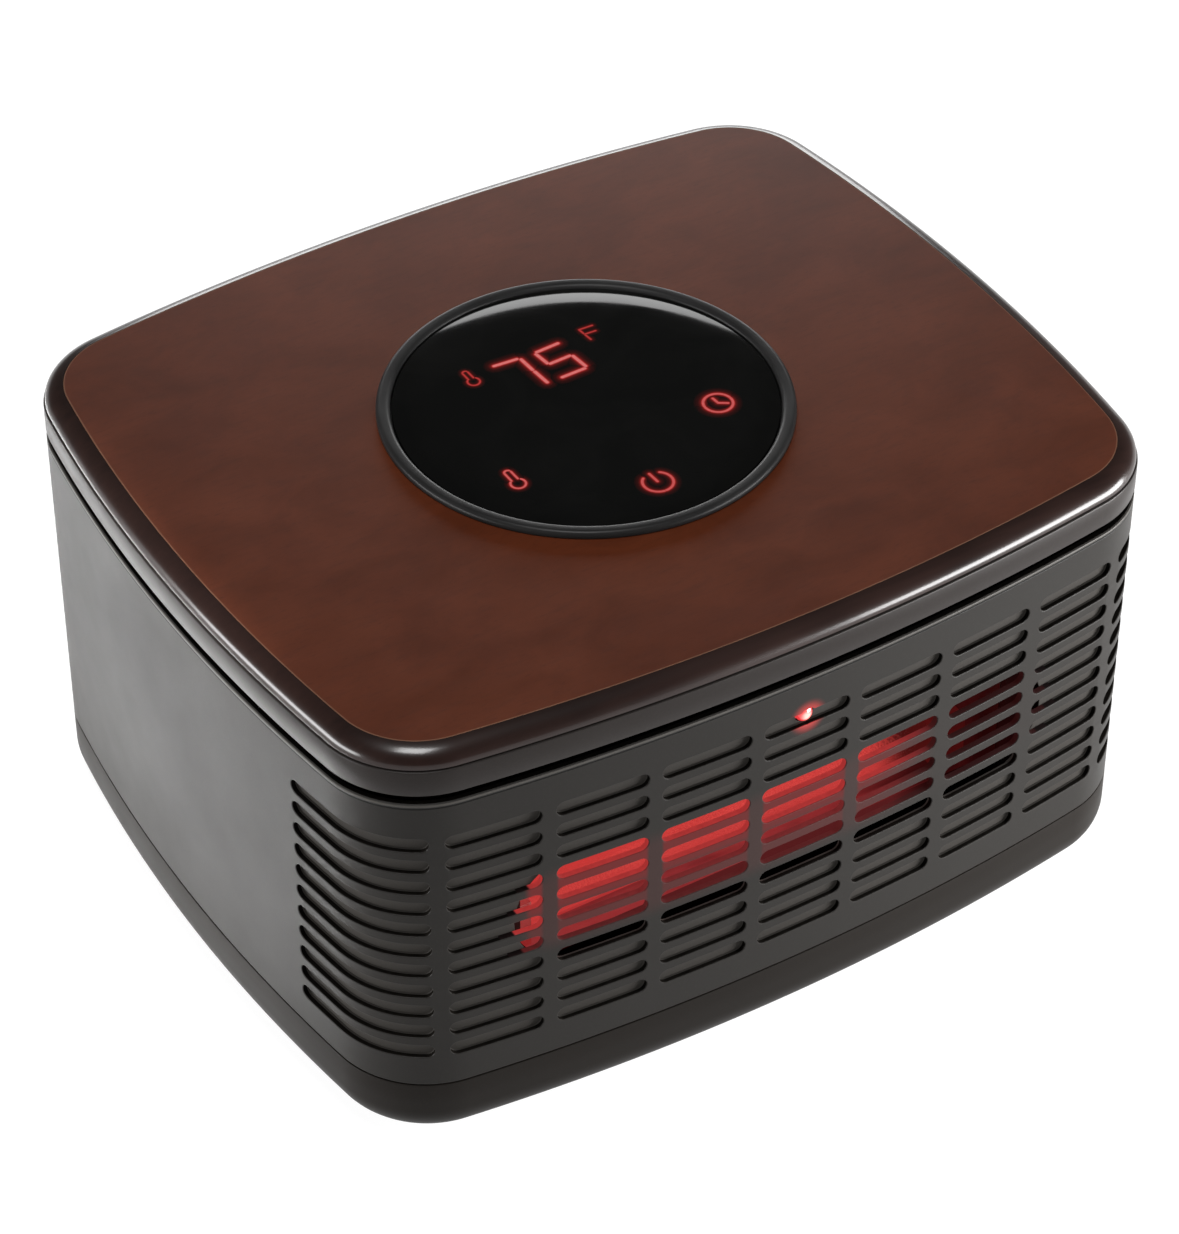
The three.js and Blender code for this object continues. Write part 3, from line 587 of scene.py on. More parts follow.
def bronze_wrap():
    """The wrap's paint with painted light on it: as emission, the receiver's red halo and the tubes' faint red spill
    and stronger red light on the strips before the window, whose base colour is darkened under it; a painted highlight
    along the top's rounded edge and a painted dark line of shade for the fine groove below it.
    """
    mat = bronze_paint("satin_bronze_wrap")
    m = Mat.__new__(Mat)
    m.m, m.t = mat, mat.node_tree
    m.p = next(n for n in m.t.nodes if n.type == "BSDF_PRINCIPLED")
    m.co = next(n for n in m.t.nodes if n.type == "TEX_COORD").outputs["Object"]
    x, y, z = m.xyz()[:3]
    front = m.span(y, -0.126, -0.120, 1.0, 0.0)
    dz = m.math("SUBTRACT", z, EYE_Z / 1000)
    rr = m.math("SQRT", m.math("ADD", m.math("MULTIPLY", x, x), m.math("MULTIPLY", dz, dz)))
    halo = m.math("POWER", m.span(rr, 0.0034, 0.0085, 1.0, 0.0, True), 1.6)
    dx = m.math("MAXIMUM", m.math("SUBTRACT", m.math("ABSOLUTE", m.math("SUBTRACT", x, WINDOW[0] / 1000)), 0.0900), 0.0)
    dw = m.math("SUBTRACT", z, 0.0965)
    rw = m.math("SQRT", m.math("ADD", m.math("MULTIPLY", dx, dx), m.math("MULTIPLY", dw, dw)))
    spill = m.math("MULTIPLY", m.span(rw, 0.012, 0.021, 1.0, 0.0, True), m.span(x, 0.020, 0.060, 1.0, 0.12, True))
    spill = m.math("MULTIPLY", spill, front)
    # painted red light on the strips between the slots before the window, as emission
    col = m.math("ABSOLUTE", m.math("SUBTRACT", m.math("FRACT", m.math("ADD", m.math("DIVIDE", x, PITCH_X / 1000), 10.5)), 0.5))
    painted_bar_glow = m.math("MULTIPLY", m.span(col, 0.405, 0.445, 1.0, 0.0, True), m.math("MULTIPLY", front, m.span(x, 0.022, 0.058, 1.0, 0.0, True)))
    painted_bar_glow = m.math("MULTIPLY", painted_bar_glow, m.math("MULTIPLY", m.span(z, 0.0845, 0.0865, 0.0, 1.0, True), m.span(z, 0.1095, 0.1110, 1.0, 0.0, True)))
    painted_bar_glow = m.math("MULTIPLY", painted_bar_glow, m.math("MULTIPLY", m.span(x, -0.1060, -0.1030, 0.0, 1.0, True), m.span(z, 0.0950, 0.0985, 0.45, 1.0, True)))
    tone = m.mix(spill, (0.0, 0.0, 0.0), (0.024, 0.0024, 0.0024))
    tone = m.mix(painted_bar_glow, tone, (0.145, 0.0135, 0.0135))
    m.link("emit", m.mix(m.math("MULTIPLY", halo, front), tone, (0.50, 0.030, 0.028)))
    m.set("emit_k", 1.0)
    top = WRAP_HI[2] / 1000
    link = next(k for k in m.t.links if k.to_socket == m.p.inputs["Base Color"])
    paint = link.from_socket
    # painted highlight along the top's rounded edge, with a small real bump, and a painted dark line of shade for the
    # fine groove below it
    bead_and_painted_highlight = m.math("MULTIPLY", m.span(z, top - 0.0012, top - 0.0009, 0.0, 1.0, True), m.span(z, top - 0.0004, top - 0.0002, 1.0, 0.3, True))
    fine = m.math("MULTIPLY", m.span(z, top - 0.0021, top - 0.0018, 0.0, 1.0, True), m.span(z, top - 0.0015, top - 0.0012, 1.0, 0.0, True))
    paint = m.mix(m.math("MULTIPLY", bead_and_painted_highlight, 0.6), paint, (0.075, 0.070, 0.064))
    # the strips under the painted red light get a dark base colour
    paint = m.mix(m.math("MULTIPLY", painted_bar_glow, 0.85), paint, (0.0020, 0.0012, 0.0012))
    m.link("color", m.mix(m.math("MULTIPLY", fine, 0.85), paint, (0.0015, 0.0014, 0.0013)))
    m.bump(m.math("SUBTRACT", bead_and_painted_highlight, fine), 0.0003, 0.6)
    return mat


def black_plastic(name, c=(0.016, 0.0155, 0.015), rough=0.5, grain=1100.0, depth=0.00004):
    """Moulded black plastic with a fine spark-eroded grain."""
    m = Mat(name, spec=0.45)
    g = m.voronoi(grain)
    n = m.noise(14.0, 3.0, 0.5)
    m.link("color", m.mix(m.span(n, 0.3, 0.7), tuple(v * 0.85 for v in c), tuple(v * 1.2 for v in c)))
    m.link("rough", m.span(m.noise(60.0, 3.0, 0.6), 0.25, 0.75, rough - 0.06, rough + 0.08))
    m.bump(m.mix(0.5, g, m.noise(grain * 0.7, 2.0, 0.5)), depth, 0.5)
    return m.m


def wood_veneer():
    """Dark reddish-brown stained veneer under satin varnish: fine short pores and streaks along X, soft mottling, and a
    painted pale highlight along its rounded rim.
    """
    m = Mat("stained_wood_veneer", spec=0.10)
    x, y, z = m.xyz()[:3]
    mott = m.noise(38.0, 6.0, 0.66, m.stretch(0.75, 1.15, 1.0), 0.5)
    cloud = m.noise(13.0, 4.0, 0.58, m.stretch(0.85, 1.1, 1.0), 0.4)
    streak = m.noise(1.0, 3.0, 0.6, m.stretch(70.0, 420.0, 420.0))
    pores = m.noise(1.0, 2.0, 0.7, m.stretch(260.0, 1300.0, 1300.0))
    base = m.ramp(mott, [(0.30, (0.058, 0.0132, 0.0048)), (0.50, (0.075, 0.0170, 0.0062)), (0.70, (0.092, 0.0214, 0.0080))])
    base = m.mix(m.span(cloud, 0.40, 0.70, 0.0, 0.45), base, (0.100, 0.0235, 0.0080))
    base = m.mix(m.span(cloud, 0.46, 0.28, 0.0, 0.40), base, (0.056, 0.0136, 0.0062))
    base = m.mix(m.span(streak, 0.52, 0.72, 0.0, 0.30), base, (0.052, 0.0126, 0.0056))
    base = m.mix(m.span(pores, 0.58, 0.74, 0.0, 0.38), base, (0.034, 0.0086, 0.0050))
    # painted highlight: pale tan along the rounded rim, where the rim weight is 1
    rim = m.attr("rim")
    base = m.mix(m.math("MULTIPLY", rim, 0.75), base, (0.20, 0.105, 0.065))
    m.link("color", base)
    m.link("rough", m.span(m.mix(0.5, mott, streak), 0.3, 0.7, 0.36, 0.46))
    m.bump(m.mix(0.5, streak, pores), 0.00003, 0.30)
    return m.m


def wood_edge():
    """The same wood stained nearly black on its rounded edge, under gloss varnish."""
    m = Mat("dark_varnished_edge", spec=0.12, coat=0.46, coat_rough=0.17)
    streak = m.noise(1.0, 3.0, 0.6, m.stretch(30.0, 420.0, 420.0))
    cloud = m.noise(11.0, 3.0, 0.55)
    base = m.mix(m.span(streak, 0.3, 0.7), (0.0080, 0.0044, 0.0038), (0.0130, 0.0068, 0.0056))
    base = m.mix(m.span(cloud, 0.35, 0.7, 0.0, 0.5), base, (0.026, 0.0120, 0.0096))
    m.link("color", base)
    m.link("rough", m.span(cloud, 0.3, 0.7, 0.30, 0.38))
    m.bump(m.noise(500.0, 2.0, 0.5), 0.00002, 0.25)
    return m.m


def panel_glass():
    """Black glass with a few faint fingerprints in its gloss."""
    m = Mat("panel_black_glass", spec=0.10)
    smudge = m.noise(28.0, 4.0, 0.6, None, 1.2)
    m.link("color", m.mix(m.span(smudge, 0.4, 0.7), (0.0045, 0.0046, 0.0044), (0.0058, 0.0058, 0.0055)))
    m.link("rough", m.span(smudge, 0.35, 0.75, 0.05, 0.09))
    return m.m


def gloss_ring():
    m = Mat("gloss_black_bezel", spec=0.12)
    n = m.noise(35.0, 3.0, 0.5)
    m.link("color", m.mix(m.span(n, 0.3, 0.7), (0.012, 0.0118, 0.0118), (0.018, 0.0176, 0.0176)))
    m.link("rough", m.span(n, 0.3, 0.7, 0.34, 0.42))
    m.bump(m.noise(700.0, 2.0, 0.5), 0.00001, 0.2)
    return m.m


def lit_symbol():
    """Light-emitting marks seen through the glass: pale core fading to red and then to nothing."""
    m = Mat("lit_symbols", spec=0.10, rough=0.07)
    g = m.attr("glow")
    tone = m.ramp(g, [(0.0, (0.0, 0.0, 0.0)), (0.30, (0.028, 0.0012, 0.0010)), (0.55, (0.13, 0.0050, 0.0042)), (0.74, (0.40, 0.024, 0.022)), (0.86, (0.58, 0.100, 0.098)), (1.0, (0.72, 0.200, 0.190))])
    grain = m.span(m.noise(900.0, 2.0, 0.6), 0.3, 0.7, 0.88, 1.08)
    m.link("emit", m.mix(1.0, tone, grain, "MULTIPLY"))
    m.set("emit_k", 1.0)
    m.link("color", m.mix(m.span(m.noise(28.0, 3.0, 0.6), 0.4, 0.7), (0.0045, 0.0046, 0.0044), (0.0058, 0.0058, 0.0055)))
    return m.m


def galvanised(name="galvanised_sheet", c=(0.30, 0.305, 0.30), rough=0.38, glow=False):
    """Zinc-coated sheet with spangle; with glow set, the tubes' red light is painted on it as emission near the outlet.
    """
    m = Mat(name, metal=0.9)
    sp = m.voronoi(140.0, None, "F1", "Color")
    tone = m.mix(0.25, c, sp, "MULTIPLY")
    scratch = m.noise(1.0, 3.0, 0.7, m.stretch(30.0, 900.0, 900.0))
    m.link("color", m.mix(m.span(scratch, 0.45, 0.75, 0.0, 0.4), tone, tuple(v * 0.6 for v in c)))
    m.link("rough", m.span(scratch, 0.3, 0.7, rough - 0.08, rough + 0.1))
    m.bump(scratch, 0.00003, 0.3)
    if glow:
        # painted red light: a mottled emission patch near the outlet, fading towards the right
        x, y, z = m.xyz()[:3]
        fx = m.math("MULTIPLY", m.span(x, 0.045, 0.092, 1.0, 0.12, True), m.span(x, -0.112, -0.100, 0.3, 1.0, True))
        fy = m.math("MULTIPLY", m.span(y, -0.112, -0.096, 0.25, 1.0, True), m.span(y, -0.070, -0.050, 1.0, 0.0, True))
        glow_mottle = m.span(m.noise(70.0, 3.0, 0.6, m.stretch(0.35, 1.6, 1.0)), 0.30, 0.70, 0.55, 1.25)
        k = m.math("MULTIPLY", m.math("MULTIPLY", fx, fy), glow_mottle)
        m.link("emit", m.mix(k, (0.0, 0.0, 0.0), (0.24, 0.022, 0.024)))
        m.set("emit_k", 1.0)
    return m.m


def reflector_glow():
    """Bright aluminium trough full of the tubes' red light; its ends fall into shadow."""
    m = Mat("bright_reflector", metal=0.35, spec=0.1)
    x, y, z = m.xyz()[:3]
    roll = m.noise(1.0, 3.0, 0.6, m.stretch(12.0, 300.0, 300.0))
    m.link("color", m.mix(m.span(roll, 0.3, 0.7), (0.16, 0.11, 0.11), (0.24, 0.17, 0.17)))
    m.link("rough", m.span(roll, 0.3, 0.7, 0.42, 0.55))
    m.bump(roll, 0.00003, 0.25)
    fx = m.math("MULTIPLY", m.span(x, 0.056, 0.074, 1.0, 0.16, True), m.span(x, -0.0805, -0.0755, 1.0, 1.0, True))
    band = m.span(m.noise(1.0, 2.0, 0.5, m.stretch(14.0, 50.0, 120.0)), 0.3, 0.7, 0.82, 1.1)
    k = m.math("MULTIPLY", fx, band)
    m.link("emit", m.mix(k, (0.0, 0.0, 0.0), (0.36, 0.025, 0.025)))
    m.set("emit_k", 1.0)
    return m.m


def quartz():
    """Clear quartz tube filled with red glow between its ends."""
    m = Mat("quartz_tube", spec=0.10, rough=0.12, alpha=0.62)
    x, y, z = m.xyz()[:3]
    fx = m.span(x, 0.058, 0.074, 1.0, 0.14, True)
    haze = m.span(m.noise(1.0, 3.0, 0.6, m.stretch(22.0, 160.0, 160.0)), 0.3, 0.7, 0.85, 1.12)
    m.link("color", m.mix(fx, (0.05, 0.045, 0.045), (0.30, 0.05, 0.045)))
    m.link("emit", m.mix(m.math("MULTIPLY", fx, haze), (0.0, 0.0, 0.0), (0.43, 0.034, 0.032)))
    m.set("emit_k", 1.0)
    return m.m


def hot_wire():
    """Glowing resistance wire, dull where it meets its ends."""
    m = Mat("heating_wire", metal=0.4, rough=0.5)
    x, y, z = m.xyz()[:3]
    fx = m.span(m.math("ABSOLUTE", x), 0.070, 0.079, 1.0, 0.0, True)
    turn = m.span(m.noise(240.0, 2.0, 0.5), 0.3, 0.7, 0.85, 1.15)
    m.link("color", m.mix(turn, (0.10, 0.07, 0.06), (0.22, 0.15, 0.12)))
    m.link("emit", m.mix(m.math("MULTIPLY", fx, turn), (0.002, 0.0, 0.0), (0.66, 0.060, 0.045)))
    m.set("emit_k", 1.0)
    return m.m


def ceramic(name="white_ceramic", c=(0.62, 0.58, 0.52), glow=False):
    m = Mat(name, spec=0.3 if not glow else 0.1)
    n = m.noise(90.0, 4.0, 0.6)
    speck = m.voronoi(420.0)
    base = m.mix(m.span(n, 0.3, 0.7), tuple(v * 0.88 for v in c), c)
    m.link("color", m.mix(m.span(speck, 0.0, 0.16, 0.35, 0.0), base, (0.28, 0.24, 0.20)))
    m.link("rough", m.span(n, 0.3, 0.7, 0.62, 0.8))
    m.bump(m.noise(600.0, 3.0, 0.6), 0.00006, 0.4)
    # painted red light of the tubes: emission, strongest on the left end caps
    if glow:
        x, y, z = m.xyz()[:3]
        m.link("emit", m.mix(m.math("MULTIPLY", m.span(x, 0.0, 0.070, 0.55, 0.10), m.span(n, 0.3, 0.7, 0.8, 1.1)), (0.0, 0.0, 0.0), (0.50, 0.032, 0.032)))
        m.set("emit_k", 1.0)
    return m.m


def rubber():
    m = Mat("black_rubber", spec=0.35, sheen=0.1)
    n = m.noise(40.0, 4.0, 0.6)
    dust = m.noise(300.0, 3.0, 0.7)
    base = m.mix(m.span(n, 0.3, 0.7), (0.011, 0.011, 0.011), (0.018, 0.018, 0.018))
    m.link("color", m.mix(m.span(dust, 0.62, 0.8, 0.0, 0.35), base, (0.06, 0.058, 0.055)))
    m.link("rough", m.span(n, 0.3, 0.7, 0.72, 0.9))
    m.bump(dust, 0.00005, 0.4)
    return m.m


def steel(name="zinc_steel", c=(0.42, 0.42, 0.43), rough=0.32):
    m = Mat(name, metal=1.0)
    br = m.noise(1.0, 3.0, 0.7, m.stretch(60.0, 1800.0, 1800.0))
    m.link("color", m.mix(m.span(br, 0.3, 0.7), tuple(v * 0.8 for v in c), c))
    m.link("rough", m.span(m.noise(80.0, 3.0, 0.6), 0.3, 0.7, rough - 0.07, rough + 0.12))
    m.bump(br, 0.00002, 0.3)
    return m.m


def circuit_board():
    """Green lacquered board with tracks and solder pads."""
    m = Mat("circuit_board", spec=0.5, rough=0.35)
    tr = m.voronoi(170.0, m.stretch(1.0, 1.0, 0.02), "DISTANCE_TO_EDGE")
    pad = m.voronoi(330.0, m.stretch(1.0, 1.0, 0.02))
    base = m.mix(m.span(tr, 0.03, 0.09), (0.035, 0.115, 0.050), (0.012, 0.050, 0.022))
    m.link("color", m.mix(m.span(pad, 0.12, 0.20, 1.0, 0.0), base, (0.34, 0.33, 0.31)))
    m.link("rough", m.span(pad, 0.10, 0.24, 0.28, 0.45))
    m.bump(tr, 0.00004, 0.4)
    return m.m


def foam():
    """Open-cell filter foam."""
    m = Mat("filter_foam", spec=0.15)
    cell = m.voronoi(620.0)
    fine = m.noise(1300.0, 3.0, 0.7)
    h = m.mix(0.35, cell, fine)
    m.link("color", m.ramp(h, [(0.15, (0.060, 0.060, 0.063)), (0.55, (0.020, 0.020, 0.022)), (0.9, (0.004, 0.004, 0.005))]))
    m.link("rough", m.span(fine, 0.3, 0.7, 0.85, 1.0))
    m.bump(h, 0.0006, 0.9)
    return m.m


def winding():
    m = Mat("copper_winding", metal=0.85)
    x, y, z = m.xyz()[:3]
    turns = m.wave(420.0, "X", None, 0.4)
    m.link("color", m.mix(turns, (0.24, 0.085, 0.035), (0.52, 0.22, 0.10)))
    m.link("rough", m.span(turns, 0.0, 1.0, 0.45, 0.28))
    m.bump(turns, 0.0002, 0.7)
    return m.m


def red_lens():
    """Lit lens of the remote receiver: a pale hot spot in saturated red."""
    m = Mat("receiver_lens", spec=0.5, rough=0.12, coat=0.5)
    x, y, z = m.xyz()[:3]
    zc = (mm("ir_receiver_lens")[0][2] + mm("ir_receiver_lens")[1][2]) / 2000
    dz = m.math("SUBTRACT", z, zc)
    rr = m.math("SQRT", m.math("ADD", m.math("MULTIPLY", x, x), m.math("MULTIPLY", dz, dz)))
    rip = m.span(m.noise(700.0, 2.0, 0.5), 0.3, 0.7, 0.9, 1.1)
    k = m.math("MULTIPLY", m.span(rr, 0.0005, 0.0026, 1.0, 0.0, True), rip)
    m.link("color", m.mix(k, (0.25, 0.02, 0.02), (0.6, 0.12, 0.1)))
    m.link("emit", m.mix(k, (0.62, 0.030, 0.035), (1.0, 0.42, 0.36)))
    m.set("emit_k", 1.3)
    return m.m


def slot_wall():
    """Near-black painted shade for the edges of the punched skin and their inside, so the slot walls read as in shadow.
    """
    m = Mat("painted_shade_slot_edge", spec=0.0)
    n = m.noise(500.0, 3.0, 0.6)
    m.link("color", m.mix(m.span(n, 0.3, 0.7), (0.0050, 0.0044, 0.0038), (0.0085, 0.0074, 0.0064)))
    m.link("rough", m.span(n, 0.3, 0.7, 0.85, 0.98))
    m.bump(n, 0.00002, 0.3)
    return m.m


def lit_frame():
    """Black outlet frame whose sill carries the tubes' dull red light."""
    m = Mat("red_lit_frame", spec=0.0)
    n = m.noise(500.0, 3.0, 0.6)
    m.link("color", m.mix(m.span(n, 0.3, 0.7), (0.0050, 0.0044, 0.0038), (0.0085, 0.0074, 0.0064)))
    m.link("rough", m.span(n, 0.3, 0.7, 0.85, 0.98))
    x, y, z = m.xyz()[:3]
    k = m.math("MULTIPLY", m.span(x, 0.050, 0.074, 1.0, 0.12, True), m.span(x, -0.100, -0.090, 0.2, 1.0, True))
    k = m.math("MULTIPLY", k, m.span(z, 0.0585, 0.0602, 0.0, 1.0, True))
    k = m.math("MULTIPLY", k, m.span(m.noise(60.0, 3.0, 0.6, m.stretch(0.4, 1.6, 1.0)), 0.3, 0.7, 0.7, 1.2))
    m.link("emit", m.mix(k, (0.0, 0.0, 0.0), (0.088, 0.0110, 0.0120)))
    m.set("emit_k", 1.0)
    return m.m


def slot_wall_lit():
    """Edge of the skin in front of the window, which carries the tubes' light; how much is stored as an attribute."""
    m = Mat("red_lit_slot_edge", spec=0.1)
    n = m.noise(420.0, 3.0, 0.6)
    x, y, z = m.xyz()[:3]
    half = WINDOW[3] / 2000
    dx = m.math("MAXIMUM", m.math("SUBTRACT", m.math("ABSOLUTE", m.math("SUBTRACT", x, WINDOW[0] / 1000)), WINDOW[2] / 2000 - half), 0.0)
    dz = m.math("SUBTRACT", z, WINDOW[1] / 1000)
    d = m.math("SQRT", m.math("ADD", m.math("MULTIPLY", dx, dx), m.math("MULTIPLY", dz, dz)))
    g = m.math("MULTIPLY", m.attr("lit"), m.span(d, half + 0.0008, half + 0.0018, 1.0, 0.0, True))
    m.link("color", m.mix(m.span(n, 0.3, 0.7), (0.006, 0.003, 0.003), (0.010, 0.004, 0.004)))
    m.link("rough", m.span(n, 0.3, 0.7, 0.75, 0.92))
    tone = m.ramp(g, [(0.0, (0.0, 0.0, 0.0)), (0.25, (0.05, 0.008, 0.008)), (0.5, (0.170, 0.019, 0.020)), (1.0, (0.42, 0.032, 0.031))])
    m.link("emit", m.mix(m.span(n, 0.3, 0.7, 0.0, 0.2), tone, (0.0, 0.0, 0.0)))
    m.set("emit_k", 1.0)
    m.bump(n, 0.00002, 0.3)
    return m.m


M_TRIM = bronze_paint("satin_bronze_trim", tint=(0.0150, 0.0124, 0.0114), rough=0.36, spec=0.12)
# plate behind the slots: a lightened, faintly glowing copy of the paint, painted light that evens out the shade behind
# the slats
M_PLATE = bronze_paint("satin_bronze_plate_lightened", painted_light_gain=1.6, rough=0.5, lift=0.6)
M_BASE = bronze_paint("satin_bronze_base", tint=(0.0100, 0.0084, 0.0072), rough=0.42, spec=0.07)
M_BLACK = black_plastic("black_moulded_plastic")
M_BLACK_SMOOTH = black_plastic("black_smooth_plastic", rough=0.34, grain=500.0, depth=0.00001)
M_REAR = black_plastic("black_rear_plastic", c=(0.022, 0.021, 0.020), rough=0.52, grain=900.0, depth=0.00006)
M_WOOD = wood_veneer()
M_EDGE = wood_edge()
M_GLASS = panel_glass()
M_RING = gloss_ring()
M_LIT = lit_symbol()
M_GALV = galvanised()
M_DUCT = galvanised("duct_sheet", c=(0.10, 0.10, 0.10), rough=0.45, glow=True)
M_REFL = reflector_glow()
M_QUARTZ = quartz()
M_WIRE = hot_wire()
M_CERAMIC = ceramic()
M_TUBE_END = ceramic("tube_end_ceramic", c=(0.16, 0.12, 0.11), glow=True)
M_RUBBER = rubber()
M_STEEL = steel()
M_LAMINATION = steel("motor_laminations", c=(0.30, 0.30, 0.31), rough=0.42)
M_PCB = circuit_board()
M_FOAM = foam()
M_COPPER = winding()
M_LENS = red_lens()
M_SLOT = slot_wall()

# ---------------------------------------------------------------- figures of the grille
PITCH_X, SLOT_L, SLOT_H, PITCH_Z, TOP_ROW, ROWS = 38.65, 33.8, 5.8, 9.38, 137.0, 11
CORNER0, CORNER1 = 138.4, 196.0
WINDOW = (-1.5, 93.0, 213.0, 48.0)
EYE_Z = (mm("ir_receiver_lens")[0][2] + mm("ir_receiver_lens")[1][2]) / 2
WALL = 2.4
M_BRONZE = bronze_wrap()
M_SLOT_LIT = slot_wall_lit()
M_FRAME = lit_frame()

# ---------------------------------------------------------------- wooden top
TOP_Z = TOP_HI[2]
WOOD_BOTTOM = TOP_LO[2]
EDGE_IN = 7.5            # where the flat begins, measured inwards
HOLE_R = 69.9
BOARD_IN = 0.6

rings = [outline(BOARD_IN + 0.35, WOOD_BOTTOM, FINE), outline(BOARD_IN, WOOD_BOTTOM + 0.35, FINE)]
z_lo = WOOD_BOTTOM + 0.6
A_END = math.radians(70)
for i in range(0, 15):
    a = A_END * i / 14
    t = BOARD_IN + (EDGE_IN - 0.08 - BOARD_IN) * (1 - math.cos(a)) / (1 - math.cos(A_END))
    rings.append(outline(t, z_lo + (TOP_Z - z_lo) * math.sin(a) / math.sin(A_END), FINE))
rings += [outline(EDGE_IN - 0.04, TOP_Z - 0.10, FINE), outline(EDGE_IN - 0.06, WOOD_BOTTOM, FINE)]
v, f = loft(rings)
obj("wood_top_moulding", v, f, M_EDGE, nodes=["wood_top_board"], smooth=40)

# the veneer; its rounded outer rim carries the weight of a painted highlight
rim_highlight_weight, rings = [], []
for t, z, r in [(EDGE_IN, TOP_Z - 3.0, 0), (EDGE_IN, TOP_Z - 0.16, 1), (EDGE_IN + 0.16, TOP_Z, 1), (EDGE_IN + 0.55, TOP_Z, 0.0)]:
    rings.append(outline(t, z, FINE))
    rim_highlight_weight += [r] * len(FINE)
A = np.array(outline(EDGE_IN + 0.55, TOP_Z, FINE))
B = np.array(circle_like(HOLE_R + 0.5, TOP_Z, FINE))
for k in range(1, 8):
    rings.append([tuple(p) for p in A + (B - A) * k / 7])
    rim_highlight_weight += [0] * len(FINE)
rings += [circle_like(HOLE_R, TOP_Z - 0.5, FINE), circle_like(HOLE_R, TOP_Z - 3.0, FINE)]
rim_highlight_weight += [0] * (2 * len(FINE))
v, f = loft(rings)
obj("wood_top_veneer", v, f, M_WOOD, nodes=["wood_top_board"], smooth=40, points={"rim": rim_highlight_weight})

# ---------------------------------------------------------------- lid trim and groove
z0, z1 = LID_LO[2], LID_HI[2]
rings = [outline(t, z, FINE) for t, z in [(2.6, z0), (0.55, z0), (0.16, z0 + 0.16), (0.0, z0 + 0.5), (0.0, z1 - 0.6), (0.18, z1 - 0.18), (0.6, z1), (3.0, z1)]]
A, B = np.array(outline(3.0, z1, FINE)), np.array(circle_like(66.2, z1, FINE))
rings += [[tuple(p) for p in A + (B - A) * k / 3] for k in (1, 2, 3)]
A, B = np.array(circle_like(66.2, z1 - 2.4, FINE)), np.array(outline(2.6, z1 - 2.4, FINE))
rings += [[tuple(p) for p in A + (B - A) * k / 3] for k in (0, 1, 2, 3)]
v, f = loft(rings)
obj("lid_trim", v, f, M_TRIM, nodes=["lid_tray"], smooth=32)

lo, hi = mm("lid_spacer_frame")
rings = [outline(t, z) for t, z in [(4.6, lo[2]), (4.6, hi[2]), (8.2, hi[2]), (8.2, lo[2])]]
v, f = loft(rings)
# the groove under the lid: a black spacer in the near-black painted-shade material, which also stands in for the
# groove's shade
obj("lid_groove_frame", v, f, M_SLOT, nodes=["lid_spacer_frame"])

# ---------------------------------------------------------------- body wrap with its slots
S_BACK = 2 * S3 - R_FRONT * math.asin(118.0 / R_FRONT)

holes, lit = [], []
for row in range(ROWS):
    z = TOP_ROW - PITCH_Z * row + SLOT_H / 2
    for col in range(-3, 4):
        cs = R_FRONT * math.asin(col * PITCH_X / R_FRONT)
        if row == 0 and col == 0:
            holes.append(EyeSlot(cs, z, SLOT_L, SLOT_H, EYE_Z, 3.5))
        else:
            holes.append(Hole(cs, z, SLOT_L, SLOT_H, na=5, step=3.2))
    for side in (-1, 1):
        holes.append(Hole(side * (CORNER0 + CORNER1) / 2, z, CORNER1 - CORNER0, SLOT_H, na=5, step=2.2))


def s_samples(a, b):
    """Arc lengths closer together round the corners."""
    out, s = [a], a
    while s < b - 1e-6:
        u = abs(s)
        corner = S1 - 6 < u < S2 + 6 or S1 - 6 < 2 * S3 - u < S2 + 6
        s += 2.6 if corner else 7.0
        out.append(min(s, b))
    if len(out) > 1 and out[-1] - out[-2] < 1.0:
        out[-2] = out[-1]
        out.pop()
    return out


half = s_samples(0, S_BACK)
s_list = [-s for s in reversed(half[1:])] + half
z_list = list(np.linspace(WRAP_LO[2], WRAP_HI[2], 19))
grid = []
for i, s in enumerate(s_list[1:-1]):
    step = 5.2 if 0 else 6.4
    for j in range(1, 20):
        z = WRAP_LO[2] + (j + (0.5 if i % 2 else 0.0)) * 6.4
        if z < WRAP_HI[2] - 2:
            if abs(s) < CORNER1 + 3 and TOP_ROW - PITCH_Z * 10 - 2 < z < TOP_ROW + SLOT_H + 2:
                continue
            grid.append((s, z))
v, f, tag = sheet(s_list, z_list, holes, skin, 0.0, WALL, bevel=0.32, rim=0.7, grid=grid, lip=1.75)


def lit_at(x, z):
    """How much of the tubes' light reaches the skin's inner edge at x, z."""
    wx, wz, L, H = WINDOW
    r = H / 2
    dx = max(0.0, abs(x - wx) - (L / 2 - r))
    d = math.hypot(dx, z - wz)
    if d > r + 5.0 or z < 78.5 or z > 117.0:
        return 0.0
    fall = 1.0 if x < 34 else max(0.0, 1 - (x - 34) / 26.0)
    if z < 97.5 and (x > -96 or z < 88):
        fall *= 0.50 if z > 88 else 0.34
    return max(fall, 0.10)


